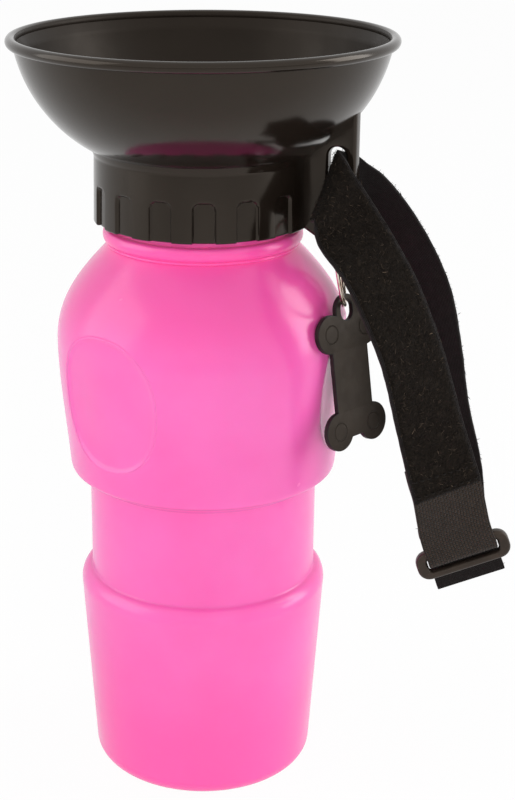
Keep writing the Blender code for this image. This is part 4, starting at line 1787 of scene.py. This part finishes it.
    def add_pile(self, form: Form, route: Route, kind: int) -> None:
        """Adds the lumpy bed of the pile on the tape's outer face.

        Args:
            form: The tape's mesh.
            route: The tape's route.
            kind: Material number of the pile.
        """
        half = self.width / 2 - self.selvedge
        bed = self.back_thickness - self.tape_thickness / 2
        room = (self.tape_thickness / 2 - bed) * self.pile_share
        count = int(route.length / self.pile_row)
        rows = []
        for i in range(count + 1):
            section = route.section(route.length * i / count)
            ends = min(section.travel, route.length - section.travel)
            row = []
            for k in range(self.pile_columns + 1):
                x = half * (2.0 * k / self.pile_columns - 1.0)
                inside = min((half - abs(x)) / self.pile_side_round, ends / self.pile_end_round, 1.0)
                spot = Vector((x, section.travel, self.lump_layer)) / self.lump_size
                lumps = noise.fractal(spot, *self.lump_detail)
                swell = (room + lumps * self.lump_height) * math.sqrt(max(inside, 0.0))
                height = bed - self.pile_sunk + swell
                tint = self.pile_tint[0] + self.pile_tint[1] * max(lumps, 0.0) ** 2
                row.append(form.point(section.at(x, height), (x, section.travel), tint))
            rows.append(row)
        for row, after in zip(rows, rows[1:]):
            form.bridge(row, after, False, kind)

    def add_fibre(self, form: Form, kind: Fluff, root: Vector, lean: Vector, tint: float) -> None:
        """Adds one bent fibre as a thin strip.

        Args:
            form: The mesh.
            kind: What kind of fibre it is.
            root: Where it starts.
            lean: Its first direction.
            tint: Its shade number.
        """
        length = self.chance.uniform(*kind.length_mm) * MM
        width = kind.width_mm * MM
        turn = Vector([self.chance.gauss(0.0, 1.0) for _ in range(3)]).normalized()
        side = lean.cross(turn).normalized() * (width / 2)
        bend = (lean + turn * self.fibre_bend).normalized()
        elbow = root + lean * (length * 0.5)
        tip = elbow + bend * (length * 0.5)
        low = [form.point(root - side, tint=tint), form.point(root + side, tint=tint)]
        high = [form.point(elbow - side, tint=tint), form.point(elbow + side, tint=tint)]
        form.face((low[0], low[1], high[1], high[0]))
        form.face((high[0], high[1], form.point(tip, tint=tint)))

    def flat_lean(self, section: Section) -> Vector:
        """Picks a chance direction in the plane of the tape.

        Args:
            section: Where on the tape.

        Returns:
            The direction.
        """
        across = section.across * self.chance.gauss(0.0, 1.0)
        along = section.face.cross(section.across) * self.chance.gauss(0.0, 1.0)
        return (across + along).normalized()

    def build_fibres(self, route: Route) -> None:
        """Scatters the pile's nap and curls, the lint caught in it and the frayed end.

        Args:
            route: The tape's route.
        """
        form = Form()
        half = self.width / 2 - 0.5 * self.selvedge
        chance = self.chance
        for _ in range(self.nap.count):
            section = route.section(chance.uniform(self.pile_start, route.length))
            x = chance.uniform(-half, half)
            outward = x / half
            slope = section.across * (chance.gauss(0.0, self.nap_lean) + self.nap_outward * outward**3)
            slope += section.face.cross(section.across) * chance.gauss(0.0, self.nap_lean)
            lean = (section.face + slope).normalized()
            clump = noise.noise(Vector((x, section.travel, self.clump_layer)) / self.clump_size)
            shade = self.nap_tint[1] * max(clump, 0.0) ** self.clump_power * chance.random()
            self.add_fibre(form, self.nap, section.at(x, self.nap_root), lean, self.nap_tint[0] + shade)
        for _ in range(self.curls.count):
            section = route.section(chance.uniform(self.pile_start, route.length))
            root = section.at(chance.uniform(-half, half), chance.uniform(*self.curl_root_mm) * MM)
            lean = self.flat_lean(section)
            tint = self.curl_tint[0] + self.curl_tint[1] * chance.random() ** 2
            self.add_fibre(form, self.curls, root, lean, tint)
        for _ in range(self.lint.count):
            section = route.section(chance.uniform(0.0, route.length))
            root = section.at(chance.uniform(-half, half), self.lint_root)
            lean = self.flat_lean(section)
            self.add_fibre(form, self.lint, root, lean, chance.uniform(*self.lint_tint))
        end = route.sections[-1]
        down = end.across.cross(end.face)
        for _ in range(self.fray.count):
            x = chance.uniform(-half, half)
            root = end.at(x, chance.uniform(*self.fray_root_mm) * MM)
            sway = end.across * chance.gauss(0.0, self.fray_lean)
            lean = down + sway + end.face * chance.gauss(0.0, self.fray_lean)
            self.add_fibre(form, self.fray, root, lean.normalized(), self.fray_tint)
        form.finish("strap_pile_fibres", [self.finishes.pile.material()], Body.STRAP, Slot.PILE, solid=False)

    def build_tape(self, route: Route) -> None:
        """Builds the tape's woven back and the bed of its pile.

        Args:
            route: The tape's route.
        """
        form = Form()
        half = self.tape_thickness / 2
        self.add_band(form, route, -half, self.back_thickness - half, self.tape_edge)
        self.add_pile(form, route, 1)
        materials = [self.finishes.tape_back.material(), self.finishes.pile.material()]
        piece = form.finish("strap_tape", materials, Body.STRAP, Slot.PILE)
        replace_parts(piece, "strap_loop_tape")

    def build_webbing(self, tape: Route) -> None:
        """Builds the folded webbing, the stitches that hold it and the hook patch.

        Args:
            tape: The tape's route.
        """
        form = Form()
        half = self.webbing_thickness / 2
        self.add_band(form, self.webbing_route(), -half, half, self.webbing_edge)
        webbing = self.finishes.webbing.material()
        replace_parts(form.finish("strap_folded_webbing", [webbing], Body.STRAP, Slot.WEBBING), "strap_webbing")
        _, up, out = self.ring_axes()
        offset = self.leg_offset() + half + self.gap + self.hook_thickness / 2
        middle = self.middle() - out * offset
        ends = [self.edges(middle + up * d) for d in (self.hook_rise, self.hook_rise - self.hook_length)]
        patch = Form()
        half = self.hook_thickness / 2
        self.add_band(patch, Route(ends, self.hook_samples), -half, half, self.hook_edge)
        hooks = self.finishes.tape_back.material()
        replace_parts(patch.finish("strap_hooks", [hooks], Body.STRAP, Slot.WEBBING), "strap_hook_patch")
        self.build_stitches(tape)

    def build_stitches(self, tape: Route) -> None:
        """Sews the webbing to the tape with two rows of stitches.

        Args:
            tape: The tape's route.
        """
        form = Form()
        side = self.stitch_side_count
        for travel in self.stitch_rows:
            section = tape.section(travel)
            for i in range(-side, side + 1):
                path = []
                for k in range(self.stitch_steps + 1):
                    share = k / self.stitch_steps - 0.5
                    height = self.stitch_height - self.stitch_dip * share * share * 4
                    path.append(section.at((i + self.stitch_share * share) * self.stitch_pitch, height))
                form.tube(path, self.thread_radius, 6)
        form.finish("strap_stitches", [self.finishes.thread.material()], Body.STRAP, Slot.WEBBING)

    def build_ring(self) -> None:
        """Builds the moulded ring at the strap's lower end."""
        form = Form()
        window_size = (self.ring_length - 2 * self.ring_end, self.ring_height - 2 * self.ring_bar)
        outline = rounded_box(self.ring_length, self.ring_height, self.ring_corner, 8)
        window = rounded_box(*window_size, self.ring_bar / 2, 5)
        where = axes_matrix(*self.ring_axes(), self.middle())
        form.plate(outline, [window], self.ring_thickness, self.ring_edge, where)
        piece = form.finish("strap_ring_moulding", [self.finishes.ring.material()], Body.STRAP, Slot.BLACK)
        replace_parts(piece, "strap_ring")

    def build(self) -> None:
        """Builds every piece of the strap."""
        route = self.tape_route()
        self.build_tape(route)
        self.build_fibres(route)
        self.build_webbing(route)
        self.build_ring()


@dataclass
class Tag:
    """Wire ring in the lug's slot and the bone-shaped tag that hangs on it.

    Its fields are its finishes and its sizes; the ring's top and hang are in millimetres.
    """

    finishes: Finishes
    ring_radius: float = 11.0 * MM
    wire: float = 0.65 * MM
    wire_sides: int = 24
    ring_steps: int = 120
    ring_top: Triple = (38.6, 0.0, 170.3)
    ring_hang: Triple = (4.9, -3.5, -21.16)
    ring_facing_deg: float = 15.0
    thickness: float = 1.5 * MM
    edge: float = 0.2 * MM
    lobe_radius: float = 5.4 * MM
    lobe_across: float = 13.8 * MM
    lobe_along: float = 27.6 * MM
    shaft_width: float = 14.4 * MM
    end_notch: float = 2.9 * MM
    eye_radius: float = 4.4 * MM
    eye_stand: float = 4.8 * MM
    hole_radius: float = 2.4 * MM
    hole_length: float = 5.8 * MM
    hole_top: float = 1.6 * MM
    hang_room: float = 0.9 * MM
    facing_deg: float = -24.0
    lean_deg: float = 9.0

    def hang(self) -> Vector:
        """Returns the direction from the ring's top to its bottom."""
        return Vector(self.ring_hang).normalized()

    def build_ring(self) -> None:
        """Builds the wire ring."""
        facing = math.radians(self.ring_facing_deg)
        normal = Vector((math.cos(facing), math.sin(facing), 0.0))
        hang = self.hang()
        normal = (normal - hang * normal.dot(hang)).normalized()
        across = normal.cross(hang)
        centre = Vector(self.ring_top) * MM + hang * self.ring_radius
        form = Form()
        last_deg = 360 - 360 / self.wire_sides
        circle = arc((self.ring_radius, 0.0), (self.wire, self.wire), 0, last_deg, self.wire_sides - 1)
        form.lathe(circle, self.ring_steps, closed=True)
        where = axes_matrix(hang, across, normal, centre)
        form.verts = [where @ place for place in form.verts]
        piece = form.finish("tag_wire_ring", [self.finishes.wire.material()], Body.TAG_RING, Slot.STEEL)
        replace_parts(piece, "tag_ring")

    def outline(self) -> list[Point]:
        """Traces the bone with the eye on its upper end, counterclockwise from below.

        Returns:
            The outline.
        """
        lobe = self.lobe_radius
        x = self.lobe_across / 2
        y = self.lobe_along / 2
        side = math.degrees(math.acos((self.shaft_width / 2 - x) / lobe))
        notch = math.degrees(math.asin((lobe - self.end_notch) / lobe))
        eye = math.degrees(math.acos((self.eye_radius - x) / lobe))
        right = arc((x, -y), (lobe, lobe), notch - 180, side, 30)
        right += arc((x, y), (lobe, lobe), -side, eye, 24)
        eye_middle = y + lobe + self.eye_stand - self.eye_radius
        top = arc((0.0, eye_middle), (self.eye_radius, self.eye_radius), 0, 90, 12)
        right += top[:-1]
        return right + [top[-1]] + [(-px, py) for px, py in reversed(right)]

    def place(self) -> Matrix:
        """Hangs the tag on the ring.

        Returns:
            The matrix that puts it there.
        """
        facing = math.radians(self.facing_deg)
        lean = math.radians(self.lean_deg)
        level = Vector((math.cos(facing), math.sin(facing), 0.0))
        across = UP.cross(level)
        up = UP * math.cos(lean) - level * math.sin(lean)
        normal = level * math.cos(lean) + UP * math.sin(lean)
        bottom = Vector(self.ring_top) * MM + self.hang() * (2 * self.ring_radius)
        eye_top = self.lobe_along / 2 + self.lobe_radius + self.eye_stand
        hung_at = eye_top - self.hole_top - self.hang_room - self.wire
        return axes_matrix(across, up, normal, bottom - up * hung_at)

    def build_tag(self) -> None:
        """Builds the bone-shaped tag."""
        high = self.lobe_along / 2 + self.lobe_radius + self.eye_stand - self.hole_top
        low = high - self.hole_length
        ends = (self.hole_radius, self.hole_radius)
        hole = arc((0.0, high - self.hole_radius), ends, 0, 180, 14)
        hole += arc((0.0, low + self.hole_radius), ends, 180, 360, 14)
        form = Form()
        form.plate(self.outline(), [hole], self.thickness, self.edge, self.place(), 1)
        # The edges take the darker copy of the rubber, which is painted shade.
        materials = [self.finishes.tag_face.material(), self.finishes.tag_edge_painted_shade.material()]
        piece = form.finish("bone_tag", materials, Body.TAG, Slot.TAG)
        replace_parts(piece, "tag")

    def build(self) -> None:
        """Builds the ring and the tag."""
        self.build_ring()
        self.build_tag()


@dataclass(frozen=True)
class Softbox:
    """A soft lamp that faces the object.

    Attributes:
        name: The lamp's name.
        side: How far it stands to the right of the camera's line.
        front: How far it stands towards the camera.
        height: Its height.
        size: Its width and height.
        power: Its power in watts.
        spread_deg: Width of its beam.
        mirrored: Whether reflections show it.
    """

    name: str
    side: float
    front: float
    height: float
    size: Point
    power: float
    spread_deg: float = 180.0
    mirrored: bool = True


@dataclass
class Studio:
    """Pale floor, white surroundings, soft lamps and the camera.

    Its fields place the camera, whose pixel values are for the photograph's frame, and give the floor's
    and the surroundings' light. The floor is less bright to reflections in front of the object, between
    the two distances of floor_front.
    """

    azimuth_deg: float = 22.0
    pitch_deg: float = 19.82
    camera_place: Triple = (0.1752, -0.4337, 0.2824)
    focal_px: float = 1692.0
    middle_px: Point = (202.9, 401.3)
    image_px: Point = (515.0, 800.0)
    sensor: float = 36.0
    floor_half: float = 60.0
    floor_white: float = 0.96
    floor_front: Point = (0.06, 0.16)
    floor_front_white: float = 0.08
    paper_size: float = 0.4
    paper_level: Point = (0.9, 0.94)
    paper_roughness: float = 0.9
    surround: float = 0.48
    surround_white: float = 1.0
    target: Triple = (0.02, 0.0, 0.12)
    clip_start: float = 0.01
    lamps: tuple[Softbox, ...] = (
        Softbox("left_softbox", -1.1, 0.15, 0.55, (1.1, 1.1), 6.5),
        Softbox("right_softbox", 1.1, -0.05, 0.5, (0.6, 1.0), 7.5),
        Softbox("front_softbox", 0.15, 1.4, 0.5, (0.7, 0.5), 2.1, spread_deg=80.0, mirrored=False),
    )

    def right(self) -> Vector:
        """Returns the level direction to the right of the camera's line."""
        angle = math.radians(self.azimuth_deg)
        return Vector((math.cos(angle), math.sin(angle), 0.0))

    def near(self) -> Vector:
        """Returns the level direction from the object towards the camera."""
        angle = math.radians(self.azimuth_deg)
        return Vector((math.sin(angle), -math.cos(angle), 0.0))

    @staticmethod
    def stand(holder: bpy.types.Object, place: Vector, ahead: Vector) -> None:
        """Adds a lamp or the camera to the scene.

        Args:
            holder: Its object.
            place: Where it stands.
            ahead: The direction that it looks.
        """
        turn = ahead.to_track_quat("-Z", "Y").to_matrix().to_4x4()
        holder.matrix_world = Matrix.Translation(place) @ turn
        bpy.context.scene.collection.objects.link(holder)

    def seen(self, tree: bpy.types.NodeTree) -> bpy.types.NodeSocket:
        """Adds nodes that are 1 for rays from the camera, a reflection or a see-through piece.

        Args:
            tree: The node tree.

        Returns:
            The value socket.
        """
        path = tree.nodes.new("ShaderNodeLightPath")
        total = path.outputs["Is Camera Ray"]
        for name in ("Is Glossy Ray", "Is Transmission Ray"):
            node = tree.nodes.new("ShaderNodeMath")
            node.operation = "MAXIMUM"
            tree.links.new(total, node.inputs[0])
            tree.links.new(path.outputs[name], node.inputs[1])
            total = node.outputs["Value"]
        return total

    def build_world(self) -> None:
        """Makes the surroundings a plain level of light, and white to look at."""
        world = bpy.data.worlds.new("plain_surround")
        world.use_nodes = True
        background = world.node_tree.nodes["Background"]
        background.inputs["Color"].default_value = (1.0, 1.0, 1.0, 1.0)
        level = world.node_tree.nodes.new("ShaderNodeMapRange")
        level.inputs["To Min"].default_value = self.surround
        level.inputs["To Max"].default_value = self.surround_white
        world.node_tree.links.new(self.seen(world.node_tree), level.inputs["Value"])
        world.node_tree.links.new(level.outputs["Result"], background.inputs["Strength"])
        bpy.context.scene.world = world

    def build_floor(self) -> None:
        """Lays the floor, which is white to look at and keeps the object's shadow."""
        graph = Graph("studio_floor")
        paper = graph.spread(graph.noise(self.paper_size), *self.paper_level)
        colour = graph.add("ShaderNodeCombineColor", {"Red": paper, "Green": paper, "Blue": paper})
        values = {"Base Color": colour.outputs["Color"], "Roughness": self.paper_roughness}
        graph.shade(values | {"Specular IOR Level": 0.0})
        glow = graph.add("ShaderNodeEmission", {"Strength": 1.0})
        mix = graph.add("ShaderNodeMixShader")
        place = graph.add("ShaderNodeTexCoord").outputs["Object"]
        near = graph.add("ShaderNodeVectorMath", operation="DOT_PRODUCT")
        graph.feed(near, 0, place)
        graph.feed(near, 1, self.near())
        levels = (self.floor_white, self.floor_front_white)
        white = graph.smooth(near.outputs["Value"], self.floor_front, levels)
        camera = graph.add("ShaderNodeLightPath").outputs["Is Camera Ray"]
        direct = graph.math("MULTIPLY", camera, self.floor_white)
        share = graph.math("MAXIMUM", direct, graph.math("MULTIPLY", self.seen(graph.tree), white))
        graph.feed(mix, 0, share)
        graph.feed(mix, 1, graph.shader.outputs["BSDF"])
        graph.feed(mix, 2, glow.outputs["Emission"])
        graph.tree.links.new(mix.outputs["Shader"], graph.tree.nodes["Material Output"].inputs["Surface"])
        half = self.floor_half
        mesh = bpy.data.meshes.new("studio_floor")
        places = [(-half, -half, 0.0), (half, -half, 0.0), (half, half, 0.0), (-half, half, 0.0)]
        mesh.from_pydata(places, [], [(0, 1, 2, 3)])
        mesh.materials.append(graph.material)
        floor = bpy.data.objects.new("studio_floor", mesh)
        bpy.context.scene.collection.objects.link(floor)

    def add_softbox(self, box: Softbox) -> None:
        """Adds one lamp.

        Args:
            box: The lamp.
        """
        lamp = bpy.data.lights.new(box.name, "AREA")
        lamp.shape = "RECTANGLE"
        lamp.size, lamp.size_y = box.size
        lamp.energy = box.power
        lamp.spread = math.radians(box.spread_deg)
        holder = bpy.data.objects.new(box.name, lamp)
        holder.visible_camera = False
        holder.visible_glossy = box.mirrored
        place = self.right() * box.side + self.near() * box.front + UP * box.height
        self.stand(holder, place, Vector(self.target) - place)

    def build_camera(self) -> None:
        """Places the camera where the photograph was taken."""
        pitch = math.radians(self.pitch_deg)
        ahead = -self.near() * math.cos(pitch) - UP * math.sin(pitch)
        camera = bpy.data.cameras.new("photo_camera")
        camera.sensor_fit = "AUTO"
        camera.sensor_width = self.sensor
        camera.lens = self.focal_px * self.sensor / self.image_px[1]
        camera.shift_x = (self.image_px[0] / 2 - self.middle_px[0]) / self.image_px[1]
        camera.shift_y = (self.middle_px[1] - self.image_px[1] / 2) / self.image_px[1]
        camera.clip_start = self.clip_start
        holder = bpy.data.objects.new("photo_camera", camera)
        self.stand(holder, Vector(self.camera_place), ahead)
        bpy.context.scene.camera = holder

    def build(self) -> None:
        """Builds the whole studio."""
        bpy.context.scene.view_settings.view_transform = "Standard"
        self.build_world()
        self.build_floor()
        for box in self.lamps:
            self.add_softbox(box)
        self.build_camera()


def main() -> None:
    """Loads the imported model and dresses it."""
    logging.basicConfig(level=logging.INFO, format="%(message)s")
    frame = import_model()
    finishes = Finishes()
    Bottle(finishes.bottle).build()
    Bowl(finishes.black, finishes.black_inside).build()
    Valve(finishes).dress(frame["nodes"])
    Strap(finishes).build()
    Tag(finishes).build()
    Studio().build()


if __name__ == "__main__":
    main()
